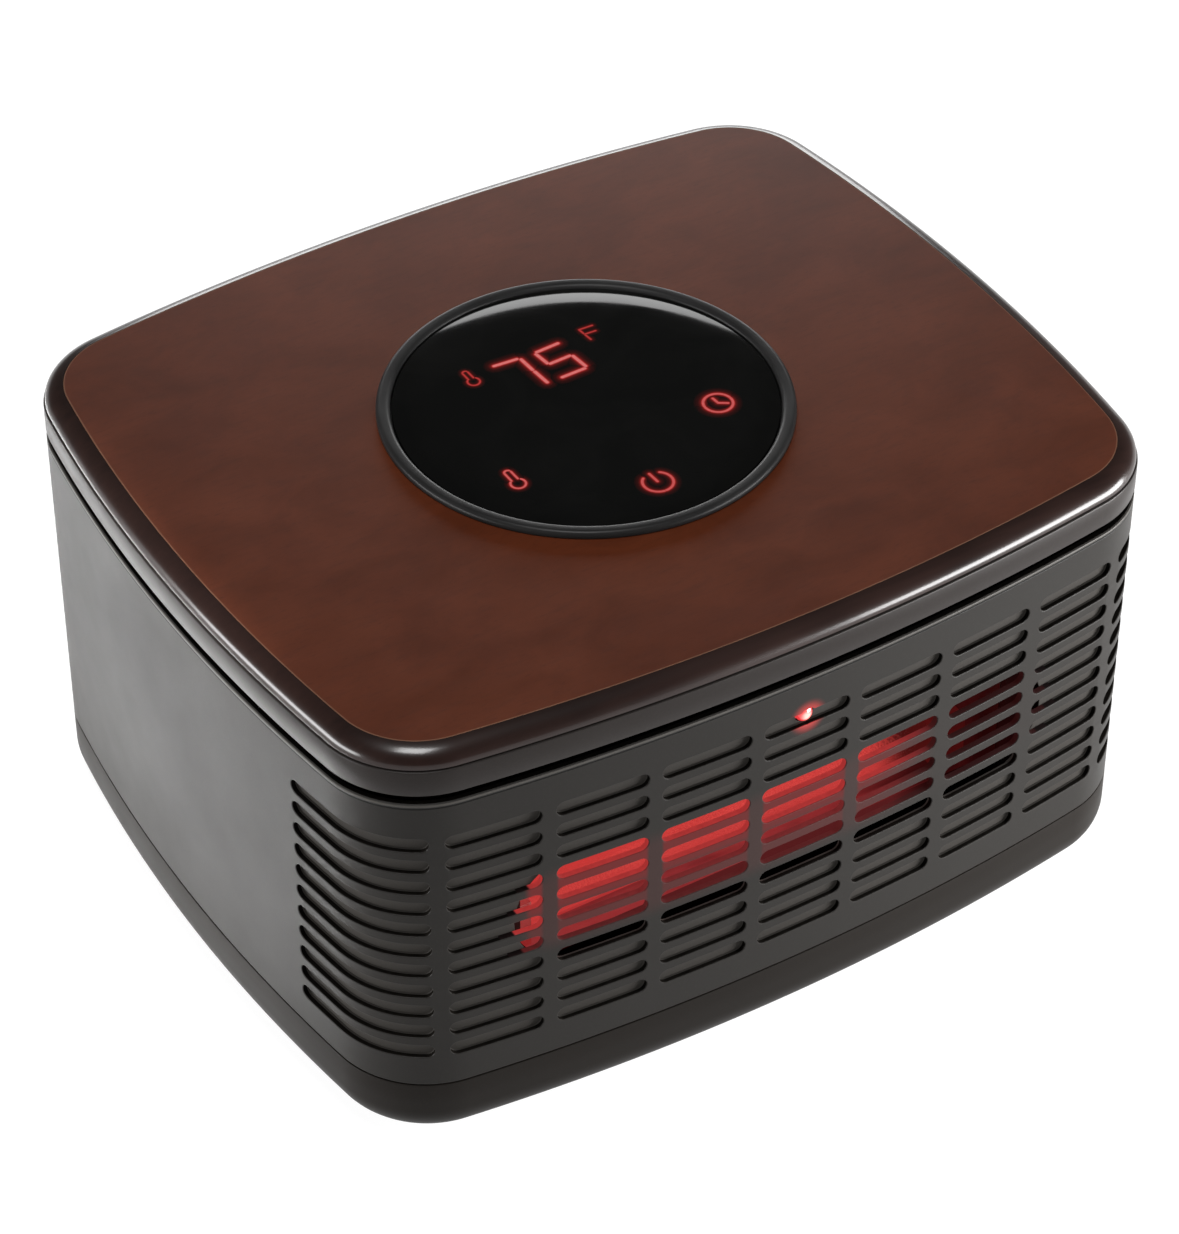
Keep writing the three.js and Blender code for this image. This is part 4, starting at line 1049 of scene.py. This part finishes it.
# Slot walls: the outer lip, the inside and the side slots' walls take the near-black painted shade; the deeper wall of
# the front slots takes the lightened plate paint; walls before the window carry painted red light.
fm, lit_v = [], [0.0] * len(v)
for face, k in zip(f, tag):
    if k in (0, 1):
        fm.append(0)
        continue
    if k in (2, 4):
        c = np.mean([v[i] for i in face], axis=0)
        q = lit_at(c[0], c[2]) if abs(c[0]) < 118 and c[1] < -120 else 0.0
        if q > 0:
            fm.append(2)
            for i in face:
                lit_v[i] = max(lit_v[i], q)
            continue
    fm.append(3 if k == 2 and abs(v[face[0]][0]) < 160 else 1)
obj("body_wrap_skin", v, f, [M_BRONZE, M_SLOT, M_SLOT_LIT, M_PLATE], nodes=["body_wrap"], smooth=20, face_mats=fm, points={"lit": lit_v})

# ---------------------------------------------------------------- plate behind the slots
lo, hi = mm("grille_backing_plate")
rf = R_FRONT - 3.0


def warp(x):
    return R_FRONT * math.asin(x / rf)


win = Hole(WINDOW[0], WINDOW[1], WINDOW[2], WINDOW[3], na=16, step=6.0, warp=warp)
eye = Hole(0.0, EYE_Z, 7.2, 7.2, na=6)
half = s_samples(0, 206.0)
s_list = [-s for s in reversed(half[1:])] + half
z_list = list(np.linspace(lo[2], hi[2], 13))
grid = []
for i, s in enumerate(s_list[1:-1]):
    for j in range(1, 17):
        z = lo[2] + (j + (0.5 if i % 2 else 0.0)) * 7.2
        if z < hi[2] - 3:
            x = along(s, 3.0)[0]
            dx = max(0.0, abs(x - WINDOW[0]) - (WINDOW[2] / 2 - 24))
            if abs(s) < 112 and math.hypot(dx, z - WINDOW[1]) < 26.5:
                continue
            grid.append((s, z))


class Clear(Hole):
    pass


saved = (win.L, win.H)
win.L, win.H = 0.0, 0.0          # the grid above already leaves the window out


def _loop(e, w=win, size=saved):
    w.L, w.H = size
    out = Hole.loop(w, e)
    w.L, w.H = 0.0, 0.0
    return out


win.loop = _loop
v, f, tag = sheet(s_list, z_list, [win, eye], skin, 2.55, 4.4, bevel=0.2, grid=grid)
# the plate takes the lightened, glowing paint (painted light); its walls take the near-black painted shade
obj("grille_plate", v, f, [M_PLATE, M_SLOT], nodes=["grille_backing_plate"], smooth=20, face_mats=[0 if k < 2 else 1 for k in tag])

# receiver lens in the middle slot of the top row
lo, hi = mm("ir_receiver_lens")
v, f = lathe([(0, 0)] + [(3.1 * math.sin(math.radians(a)), 2.1 * (1 - math.cos(math.radians(a)))) for a in range(12, 91, 13)] + [(3.1, hi[1] - lo[1] - 0.1), (0, hi[1] - lo[1] - 0.1)], 40, 0.0, lo[1] + 0.05, (lo[2] + hi[2]) / 2, "Y")
obj("receiver_lens", v, f, M_LENS, nodes=["ir_receiver_lens"], smooth=40)

# ---------------------------------------------------------------- base
zb, zt = BASE_LO[2], BASE_HI[2]
prof = [(2.4, zt), (0.62, zt), (0.18, zt - 0.18), (0.0, zt - 0.62), (0.0, zb + 18.0)]
prof += [(13.9 * (1 - math.cos(math.radians(a))), zb + 13.9 * (1 - math.sin(math.radians(a)))) for a in range(0, 91, 6)]
outer = [outline(t, z, FINE) for t, z in prof]
prof_in = [(2.4 + 11.9 * (1 - math.cos(math.radians(a))), zb + 2.4 + 11.9 * (1 - math.sin(math.radians(a)))) for a in range(90, -1, -15)]
inner = [outline(t, z, FINE) for t, z in prof_in]
bottom = np.array(outer[-1])
rings = outer + [[(x * k, y * k, zb) for x, y, _ in outer[-1]] for k in (0.92,)]
n = len(FINE)
v, f = loft(rings, closed=False)
nv = len(v)
v2, f2 = loft([[(x * 0.92, y * 0.92, zb + 2.4) for x, y, _ in inner[0]]] + inner, closed=False)
f = list(f) + [tuple(i + nv for i in g) for g in f2]
f.append(tuple(range((len(rings) - 1) * n, len(rings) * n)))
f.append(tuple(range(nv, nv + n)))
last = nv + len(inner) * n
for j in range(n):
    k = (j + 1) % n
    f.append((j, k, last + k, last + j))
v = list(v) + list(v2)
base = obj("base_tray_shell", v, f, M_BASE, nodes=["base_tray"], smooth=32)

# openings in the base's floor for feet, screws and the tip-over plunger
cv, cf = [], []


def drill(x, y, r, z0, z1, k=32):
    b = len(cv)
    for zz in (z0, z1):
        for i in range(k):
            a = 2 * math.pi * i / k
            cv.append(((x + r * math.cos(a)) / 1000, (y + r * math.sin(a)) / 1000, zz / 1000))
    cf.append(tuple(range(b, b + k))[::-1])
    cf.append(tuple(range(b + k, b + 2 * k)))
    for i in range(k):
        j = (i + 1) % k
        cf.append((b + i, b + j, b + k + j, b + k + i))


FEET = ["foot_front_left", "foot_front_right", "foot_back_left", "foot_back_right"]
for name in FEET:
    lo, hi = mm(name)
    drill((lo[0] + hi[0]) / 2, (lo[1] + hi[1]) / 2, 3.4, -2, 8)
for name in ["base_screw_front_left", "base_screw_front_right", "base_screw_back_left", "base_screw_back_right"]:
    lo, hi = mm(name)
    drill((lo[0] + hi[0]) / 2, (lo[1] + hi[1]) / 2, 4.4, -2, 8)
lo, hi = mm("tip_switch_plunger")
drill((lo[0] + hi[0]) / 2, (lo[1] + hi[1]) / 2, 3.6, -2, 8)
cm = bpy.data.meshes.new("cutter")
cm.from_pydata(cv, [], cf)
cutter = bpy.data.objects.new("cutter", cm)
COLL.objects.link(cutter)
mod = base.modifiers.new("holes", "BOOLEAN")
mod.operation, mod.solver, mod.object = "DIFFERENCE", "EXACT", cutter
bpy.context.view_layer.update()
cut_mesh = bpy.data.meshes.new_from_object(base.evaluated_get(bpy.context.evaluated_depsgraph_get()))
base.modifiers.clear()
base.data = cut_mesh
bpy.data.objects.remove(cutter)

for name in FEET:
    lo, hi = mm(name)
    prof = [(0, 0.0), (7.2, 0.0)] + [(7.2 + 1.8 * math.sin(math.radians(a)), 1.3 * (1 - math.cos(math.radians(a)))) for a in (30, 60, 90)]
    prof += [(9.0, 2.3), (8.6, 2.7), (3.05, 2.7), (3.05, 6.0), (4.3, 6.0), (3.6, 8.2), (0, 8.2)]
    v, f = lathe([(r, h + lo[2]) for r, h in prof], 48, (lo[0] + hi[0]) / 2, (lo[1] + hi[1]) / 2)
    obj(name + "_pad", v, f, M_RUBBER, nodes=[name], smooth=32)

# ---------------------------------------------------------------- control panel
lo, hi = mm("control_bezel_ring")
prof = [(64.2, lo[2]), (69.2, lo[2]), (69.2, 178.6), (72.6, 178.6), (72.7, 178.75), (72.7, 179.45)]
prof += arc(71.0, 179.4, 1.7, 0, 90, 7)[1:]
prof += arc(69.6, 179.1, 2.0, 90, 172, 7)[1:]
prof += [(67.6, 178.4), (67.6, 177.2), (64.2, 177.2)]
v, f = lathe(prof, 160)
v = [(x, y, min(z, hi[2])) for x, y, z in v]
obj("control_bezel", v, f, M_RING, nodes=["control_bezel_ring"], smooth=34)

lo, hi = mm("control_glass")
GLASS_Z = hi[2]
v, f = lathe([(0, lo[2]), (67.0, lo[2]), (67.2, lo[2] + 0.2), (67.2, GLASS_Z - 0.5), (67.05, GLASS_Z - 0.15), (66.7, GLASS_Z), (45, GLASS_Z), (0, GLASS_Z)], 160)
obj("control_glass_disc", v, f, M_GLASS, nodes=["control_glass"], smooth=30)

# lit marks: each stroke is a flat capsule with a core, an edge and a glow around it
GLOW = [(0.0, 1.0), (0.55, 0.95), (1.0, 0.72), (1.7, 0.48), (2.9, 0.28), (5.2, 0.0)]


def stroke(points, w, closed=False, n=5, reach=1.0):
    """Nested outlines round a polyline, as flat strips: list of (points, glow) rings."""
    pts = [np.array(p, float) for p in points]
    rings = []
    for k, g in GLOW[1:]:
        r = w / 2 * (k if k <= 1 else 1 + (k - 1) * reach)
        loop = []
        if closed:
            rings.append((r, g))
            continue
        m = len(pts)
        side = []
        for i in range(m):
            a = pts[max(i - 1, 0)]
            b = pts[min(i + 1, m - 1)]
            d = (b - a) / np.linalg.norm(b - a)
            nrm = np.array([-d[1], d[0]])
            side.append((pts[i], nrm, d))
        for p, nrm, d in side:
            loop.append(p + nrm * r)
        p, nrm, d = side[-1]
        for i in range(1, n):
            a = math.pi * i / n
            loop.append(p + nrm * r * math.cos(a) + d * r * math.sin(a))
        for p, nrm, d in reversed(side):
            loop.append(p - nrm * r)
        p, nrm, d = side[0]
        for i in range(1, n):
            a = math.pi * i / n
            loop.append(p - nrm * r * math.cos(a) - d * r * math.sin(a))
        rings.append((loop, g))
    return pts, rings


def capsule_mark(name, strokes, w, z_step=0.004, reach=1.0, level=1.0):
    """One mesh for a lit mark. Overlapping glows are laid a few microns apart; the brighter core lies on top."""
    verts, faces, glow = [], [], []
    z0 = GLASS_Z
    for si, pts in enumerate(strokes):
        spine, rings = stroke(pts, w, reach=reach)
        core = []
        m = len(rings[0][0])
        base = len(verts)
        for ri, (loop, g) in enumerate(rings):
            for p in loop:
                lift = 0.012 + 0.030 * g + z_step * si
                verts.append((p[0], p[1], z0 + lift))
                glow.append(g * level)
        # underside just inside the glass surface, so that each mark is a closed flake
        for p in rings[-1][0]:
            verts.append((p[0], p[1], z0 - 0.15))
            glow.append(0.0)
        for ri in range(len(rings) - 1):
            for j in range(m):
                k = (j + 1) % m
                faces.append((base + ri * m + j, base + ri * m + k, base + (ri + 1) * m + k, base + (ri + 1) * m + j))
        lastr = base + (len(rings) - 1) * m
        for j in range(m):
            k = (j + 1) % m
            faces.append((lastr + j, lastr + k, lastr + m + k, lastr + m + j))
        faces.append(tuple(base + j for j in range(m)))
        faces.append(tuple(lastr + m + j for j in reversed(range(m))))
    return obj(name, verts, faces, M_LIT, nodes=[], smooth=60, points={"glow": glow})


def seg(a, b, gap=0.35):
    a, b = np.array(a, float), np.array(b, float)
    d = (b - a) / np.linalg.norm(b - a)
    return [tuple(a + d * gap), tuple((a + b) / 2), tuple(b - d * gap)]


def ring_pts(cx, cy, rx, a0, a1, n=26, ry=None):
    ry = rx if ry is None else ry
    return [(cx + rx * math.cos(math.radians(a0 + (a1 - a0) * i / n)), cy + ry * math.sin(math.radians(a0 + (a1 - a0) * i / n))) for i in range(n + 1)]


sw = 1.6
capsule_mark("digit_seven", [seg((-16.6, 34.9), (-7.0, 34.2)), seg((-6.2, 33.6), (-5.9, 25.6)), seg((-5.8, 25.0), (-5.3, 16.8))], sw)
capsule_mark("digit_five", [seg((10.0, 34.6), (0.3, 34.0)), seg((-0.2, 33.4), (0.5, 26.2)), seg((0.9, 25.8), (9.8, 26.2)), seg((10.3, 25.8), (11.0, 17.8)), seg((10.4, 17.2), (0.3, 16.9))], sw)
capsule_mark("unit_letter", [seg((20.2, 37.6), (20.8, 30.4), 0.1), seg((20.3, 37.5), (25.6, 37.3), 0.1), seg((20.6, 34.2), (25.0, 34.0), 0.1)], 0.85, reach=0.9, level=0.80)
cx, cy = 38.8, -23.8
capsule_mark("clock_symbol", [ring_pts(cx, cy, 5.2, 0, 180), ring_pts(cx, cy, 5.2, 180, 360), seg((cx - 0.2, cy + 3.1), (cx, cy), 0.0), seg((cx, cy), (cx + 2.9, cy - 1.9), 0.0)], 1.25, reach=1.1, level=0.90)
cx, cy = -2.4, -49.9
capsule_mark("power_symbol", [ring_pts(cx, cy, 5.3, 128, 270), ring_pts(cx, cy, 5.3, -90, 52), seg((cx - 0.2, cy + 5.2), (cx, cy + 0.3), 0.0)], 1.25, reach=0.9, level=0.88)


def thermometer(name, cx, cy, k, level):
    """Bulb below a narrow stem, drawn in outline."""
    bulb = ring_pts(cx, cy - 2.4 * k, 2.7 * k, 118, 422, 20)
    stem = ring_pts(cx, cy + 4.6 * k, 1.25 * k, 0, 180, 10)
    capsule_mark(name, [bulb, stem, [bulb[0], (cx - 1.25 * k, cy + 2.2 * k), (cx - 1.25 * k, cy + 4.6 * k)], [bulb[-1], (cx + 1.25 * k, cy + 2.2 * k), (cx + 1.25 * k, cy + 4.6 * k)]], 1.0 * k, reach=0.9, level=level)


thermometer("temperature_symbol", -26.8, 32.9, 0.82, 0.80)
thermometer("touch_temperature_symbol", -43.0, -23.6, 0.98, 0.92)

# ---------------------------------------------------------------- heater seen through the window
lo, hi = mm("duct_outlet_frame")


def flat_y(s, z, t):
    return s, lo_y + t, z


lo_y = lo[1]
xs = list(np.linspace(lo[0], hi[0], 15))
zs = list(np.linspace(lo[2], hi[2], 7))
v, f, tag = sheet(xs, zs, [Hole(0, 92.25, 198.0, 63.5, r=3.0, na=5, step=14.0)], flat_y, 0.0, hi[1] - lo[1], bevel=0.5)
obj("outlet_frame", v, f, M_FRAME, nodes=["duct_outlet_frame"], smooth=20)

TUBE_Y = -91.0
TUBES = {"lower": 57.0, "upper": 95.0}
front, backp = [], []
for zc, h, zlo, zhi in ((57.5, 18.5, 39.0, 76.0), (95.0, 19.0, 76.0, 114.0)):
    for k in range(0, 25):
        a = math.pi * (k / 24 - 0.5)
        if front and k == 0:
            continue
        front.append((TUBE_Y + 4 + 21 * math.cos(a), zc + h * math.sin(a)))
prof = front + [(y + 1.1, z) for y, z in reversed(front)]
prof[len(front)] = (front[-1][0] + 0.9, front[-1][1] - 0.2)
rings = []
for x in (-86.0, -60.0, -30.0, 0.0, 30.0, 60.0, 86.0):
    rings.append([(x, y, z) for y, z in prof])
v, f = loft(rings, closed=False, caps=False)
m = len(prof)
k = len(front)
for end in (0, len(rings) - 1):
    b = end * m
    for i in range(k - 1):
        f.append((b + i, b + i + 1, b + m - 2 - i, b + m - 1 - i))
obj("reflector_trough", v, f, M_REFL, nodes=["reflector"], smooth=40)

for key, z in TUBES.items():
    lo, hi = mm("quartz_tube_" + key)
    v, f = lathe([(6.8, lo[0]), (7.9, lo[0]), (8.0, lo[0] + 0.2), (8.0, hi[0] - 0.2), (7.9, hi[0]), (6.8, hi[0])], 48, 0, TUBE_Y, z, "X")
    obj("quartz_tube_%s_clear" % key, v, f, M_QUARTZ, nodes=["quartz_tube_" + key], smooth=32)
    # wound wire with straight tails
    path = [(lo[0] + 0.3, 0.0, 0.0), (-79.0, 0.0, 0.0), (-77.6, 1.4, 0.6)]
    turns, per = 62, 14
    for i in range(turns * per + 1):
        a = 2 * math.pi * i / per
        path.append((-76.5 + 153.0 * i / (turns * per), 3.05 * math.cos(a), 3.05 * math.sin(a)))
    path += [(77.6, 1.4, 0.6), (79.0, 0.0, 0.0), (hi[0] - 0.3, 0.0, 0.0)]
    P = np.array(path)
    T = np.gradient(P, axis=0)
    T /= np.linalg.norm(T, axis=1)[:, None]
    rings = []
    for p, d in zip(P, T):
        up = np.array([0, 0, 1.0]) if abs(d[2]) < 0.8 else np.array([1.0, 0, 0])
        ref = np.array([0.0, -p[1], -p[2]])
        if np.linalg.norm(ref) > 0.5:
            up = ref / np.linalg.norm(ref)
        u = np.cross(up, d)
        u /= np.linalg.norm(u)
        w = np.cross(d, u)
        rings.append([tuple(np.array([p[0], p[1] + TUBE_Y, p[2] + z]) + 0.34 * (math.cos(2 * math.pi * j / 5) * u + math.sin(2 * math.pi * j / 5) * w)) for j in range(5)])
    v, f = loft(rings, closed=False, caps=True)
    obj("heating_wire_%s" % key, v, f, M_WIRE, nodes=["heating_coil_" + key], smooth=60)

# ---------------------------------------------------------------- rear panel
lo, hi = mm("rear_panel")
sb = R_FRONT * math.asin(117.6 / R_FRONT)


def bs(x):
    return R_FRONT * math.asin(x / R_FRONT)


FLO, FHI = mm("filter_cover")
fxo = 84.0
fz0, fz1 = FLO[2] - 0.5, FHI[2] + 0.5
rear_holes = [Hole(0, (fz0 + fz1) / 2, 2 * bs(fxo), fz1 - fz0, r=2.0, na=4, step=8.0)]
for sx in (-1, 1):
    for i in range(8):
        rear_holes.append(Hole(sx * bs(101.5), 69.6 + 9 * i, 19.0, 3.2, na=5, step=4.0))
for x, z in ((-112, 144), (112, 144), (-112, 38), (112, 38)):
    rear_holes.append(Hole(bs(x), z, 4.2, 4.2, na=5))
for x in (-46, 46):
    rear_holes.append(Hole(bs(x), 47.5, 30.0, 17.0, r=2.2, na=4, step=5.0))
s_list = list(np.linspace(-sb, sb, 35))
z_list = list(np.linspace(lo[2], hi[2], 19))
grid = [(s, z) for i, s in enumerate(s_list[1:-1]) for z in (lo[2] + (j + 0.5 * (i % 2)) * 7.0 for j in range(1, 19)) if z < hi[2] - 3]
v, f, tag = sheet(s_list, z_list, rear_holes, back_skin, 0.0, 2.4, bevel=0.45, rim=0.5, grid=grid)
obj("rear_panel_skin", v, f, [M_REAR, M_BLACK], nodes=["rear_panel"], smooth=20, face_mats=[0 if k < 3 else 1 for k in tag])


def frame_y(name, x0, x1, z0, z1, wall, y0, y1, r, mat, body, nodes):
    """Rounded rectangular sleeve along Y with eased edges."""
    def loop(e, y):
        h = Hole((x0 + x1) / 2, (z0 + z1) / 2, x1 - x0, z1 - z0, r=r, na=5, step=20.0)
        return [(a, y, b) for a, b in h.loop(e)]
    e = 0.25
    rings = [loop(0, y0 + e), loop(-e, y0), loop(-wall + e, y0), loop(-wall, y0 + e), loop(-wall, y1 - e), loop(-wall + e, y1), loop(-e, y1), loop(0, y1 - e)]
    v, f = loft(rings)
    return obj(name, v, f, mat, body=body, nodes=nodes, smooth=32)


frame_y("filter_seat", -fxo - 3, fxo + 3, fz0 - 3, fz1 + 3, 2.9, 120.0, 134.2, 3.2, M_BLACK, "casing", ["rear_panel"])
for key, x in (("switch", -46.0), ("gland", 46.0)):
    frame_y("rear_pocket_%s_wall" % key, x - 17, x + 17, 37, 58, 2.0, 134.0, 135.8, 3.0, M_REAR, "casing", ["rear_panel"])

    def flat_back(s, z, t):
        return s, 134.0 - t, z

    hole = Hole(x, 47.5, 20.4, 13.4, r=1.0, na=3, step=6.0) if key == "switch" else Hole(x, 47.5, 14.8, 14.8, na=8)
    v, f, tag = sheet(list(np.linspace(x - 17, x + 17, 7)), list(np.linspace(37, 58, 5)), [hole], flat_back, 0.0, 2.8, bevel=0.25)
    obj("rear_pocket_%s_floor" % key, v, f, M_REAR, nodes=["rear_panel"], smooth=20)

# filter cover with its slots and a finger pull
fx, f0, f1 = 83.5, FLO[2], FHI[2]
cover_holes = []
for row in range(6):
    for col in range(-2, 3):
        cover_holes.append(Hole(bs(col * 31.5), f0 + 9.5 + row * 10.6, 26.0, 4.4, na=6, step=4.0))
cover_holes.append(Hole(0, f1 - 3.3, 28.0, 3.0, na=6, step=4.0))
s_list = list(np.linspace(-bs(fx), bs(fx), 27))
z_list = list(np.linspace(f0, f1, 12))
grid = [(s, z) for i, s in enumerate(s_list[1:-1]) for z in (f0 + (j + 0.5 * (i % 2)) * 5.3 for j in range(1, 14)) if z < f1 - 2]
v, f, tag = sheet(s_list, z_list, cover_holes, back_skin, 0.3, 2.7, bevel=0.5, rim=0.7, grid=grid)
obj("filter_cover_skin", v, f, M_REAR, body="filter", nodes=["filter_cover"], smooth=20)
frame_y("filter_cover_rim", -fx, fx, f0, f1, 2.2, FLO[1], 135.4, 1.8, M_BLACK, "filter", ["filter_cover"])

# switch, gland
lo, hi = mm("rocker_switch_housing")
cxr, czr = (lo[0] + hi[0]) / 2, (lo[2] + hi[2]) / 2
frame_y("switch_bezel", cxr - 13, cxr + 13, czr - 7.9, czr + 7.9, 4.0, 134.3, 135.8, 1.6, M_BLACK_SMOOTH, "casing", ["rocker_switch_housing"])
frame_y("switch_body", cxr - 9.8, cxr + 9.8, czr - 6.3, czr + 6.3, 1.1, 121.0, 134.6, 0.9, M_BLACK, "casing", ["rocker_switch_housing"])
lo, hi = mm("power_rocker")
prof = [(-1.7, -4.6), (1.7, -4.6), (2.1, -2.6), (2.3, 0), (1.7, 2.2), (0.4, 4.3), (-3.2, 3.6), (-4.8, 0.5), (-5.6, -3.6), (-4.4, -4.6)]
cy_, cz_ = 134.2, 47.5
rings = []
for x, e in ((lo[0], 0.35), (lo[0] + 0.35, 0.0), (lo[0] + 5.5, 0.0), (hi[0] - 5.5, 0.0), (hi[0] - 0.35, 0.0), (hi[0], 0.35)):
    c = np.mean(prof, axis=0)
    ring = []
    for y, z in prof:
        d = np.array([y, z]) - c
        q = c + d * (1 - e / np.linalg.norm(d))
        ring.append((x, q[0] + cy_, q[1] + cz_))
    rings.append(ring)
v, f = loft(rings, closed=False, caps=True)
obj("power_rocker_cap", v, f, M_BLACK_SMOOTH, body="rocker", nodes=["power_rocker"], smooth=30)
lo, hi = mm("cord_gland")
prof = [(4.3, -12), (5.7, -12), (5.9, -11.8), (6.9, -2.8), (6.9, 0.6), (8.0, 0.6), (8.2, 0.8), (8.2, 1.9), (8.0, 2.3), (7.5, 3.4), (7.0, 4.3), (6.6, 4.65), (4.9, 4.8), (4.5, 4.7), (4.3, 4.4)]
v, f = lathe([(r, h) for r, h in prof], 56, (lo[0] + hi[0]) / 2, 134.0, (lo[2] + hi[2]) / 2, "Y")
obj("cord_gland_bush", v, f, M_RUBBER, nodes=["cord_gland"], smooth=34)

# ---------------------------------------------------------------- carried-over CAD nodes
CAD_LOOK = {
    "control_housing": M_BLACK, "touch_control_board": M_PCB, "display_module": M_BLACK_SMOOTH, "ir_receiver_board": M_PCB,
    "wrap_top_frame": M_GALV, "air_duct": M_DUCT, "tube_end_lower_left": M_TUBE_END, "tube_end_lower_right": M_TUBE_END,
    "tube_end_upper_left": M_TUBE_END, "tube_end_upper_right": M_TUBE_END, "ceramic_heater_block": M_CERAMIC,
    "ceramic_block_frame": M_GALV, "thermal_cutout": M_BLACK_SMOOTH, "thermal_fuse": M_STEEL, "fan_shroud": M_BLACK, "fan_rotor": M_BLACK_SMOOTH,
    "motor_shaft": M_STEEL, "motor_stator": M_LAMINATION, "motor_rotor": M_STEEL, "motor_coil": M_COPPER, "motor_bracket": M_GALV,
    "power_control_board": M_PCB, "terminal_block": M_CERAMIC, "room_temperature_sensor": M_BLACK_SMOOTH, "filter_foam": M_FOAM,
    "tip_switch_body": M_BLACK, "tip_switch_plunger": M_BLACK_SMOOTH, "tip_switch_spring": M_STEEL,
}
for n, o in NODES.items():
    look = CAD_LOOK.get(n) or (M_STEEL if "screw" in n else M_BLACK)
    for s in o.material_slots:
        s.link = "OBJECT"
        s.material = look

# ---------------------------------------------------------------- floor, light and camera
fm_ = Mat("pale_floor", spec=0.0, rough=0.9, emit=(1.0, 1.0, 1.0), emit_k=0.93)
g = fm_.noise(3.0, 3.0, 0.5)
fm_.link("color", fm_.mix(fm_.span(g, 0.3, 0.7), (0.155, 0.155, 0.155), (0.165, 0.165, 0.165)))
me = bpy.data.meshes.new("floor")
R = 9.0
me.from_pydata([(-R, -R, 0), (R, -R, 0), (R, R, 0), (-R, R, 0)], [], [(0, 1, 2, 3)])
me.materials.append(fm_.m)
floor = bpy.data.objects.new("floor", me)
COLL.objects.link(floor)
floor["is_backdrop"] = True

world = bpy.data.worlds.new("studio")
bpy.context.scene.world = world
world.use_nodes = True
world.node_tree.nodes["Background"].inputs[0].default_value = (1.0, 1.0, 1.0, 1)
world.node_tree.nodes["Background"].inputs[1].default_value = 0.05


def softbox(name, loc, target, sx, sy, power, color=(1, 1, 1), spread=180):
    l = bpy.data.lights.new(name, "AREA")
    l.shape, l.size, l.size_y, l.energy, l.color = "RECTANGLE", sx, sy, power, color
    l.spread = math.radians(spread)
    o = bpy.data.objects.new(name, l)
    COLL.objects.link(o)
    o.location = loc
    o.rotation_mode = "QUATERNION"
    o.rotation_quaternion = (Vector(target) - Vector(loc)).to_track_quat("-Z", "Y")
    return o


softbox("overhead", (-0.34, -0.30, 2.0), (-0.1, -0.1, 0), 0.56, 0.56, 25)
softbox("left_wash", (-0.262, 0.26, 0.70), (-0.262, 0.261, 0.0), 0.15, 0.66, 6.0, spread=9)
softbox("left_key", (-1.30, 0.34, 0.22), (-0.15, 0.05, 0.09), 1.1, 0.36, 27)
softbox("front_panel", (0.50, -0.50, 0.16), (0.10, -0.11, 0.09), 0.50, 0.26, 13)
softbox("back_strip", (0.36, 0.62, 0.31), (0.0, 0.05, 0.18), 0.6, 0.22, 3.0)

AZ, EL, ROLL, DIST = math.radians(-31.812), math.radians(40.109), math.radians(0.107), 1.52892
back = Vector((math.sin(AZ) * math.cos(EL), -math.cos(AZ) * math.cos(EL), math.sin(EL)))
target = Vector((0, 0, 0.088))
right = (-back).cross(Vector((0, 0, 1))).normalized()
up = right.cross(-back)
cr, sr = math.cos(ROLL), math.sin(ROLL)
right, up = cr * right + sr * up, -sr * right + cr * up
cam_data = bpy.data.cameras.new("camera")
cam_data.sensor_width = 36.0
cam_data.lens = 4258.11 / 1234.0 * 36.0
cam_data.shift_x = (589.5 - 585.82) / 1234.0
cam_data.shift_y = (606.73 - 617.0) / 1234.0
cam_data.clip_start, cam_data.clip_end = 0.05, 50.0
cam = bpy.data.objects.new("camera", cam_data)
COLL.objects.link(cam)
rot = Matrix((right, up, back)).transposed()
cam.rotation_mode = "QUATERNION"
cam.rotation_quaternion = rot.to_quaternion()
cam.location = target + back * DIST
bpy.context.scene.camera = cam
bpy.context.scene.view_settings.view_transform = "Standard"

bpy.context.view_layer.update()
lo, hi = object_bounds()
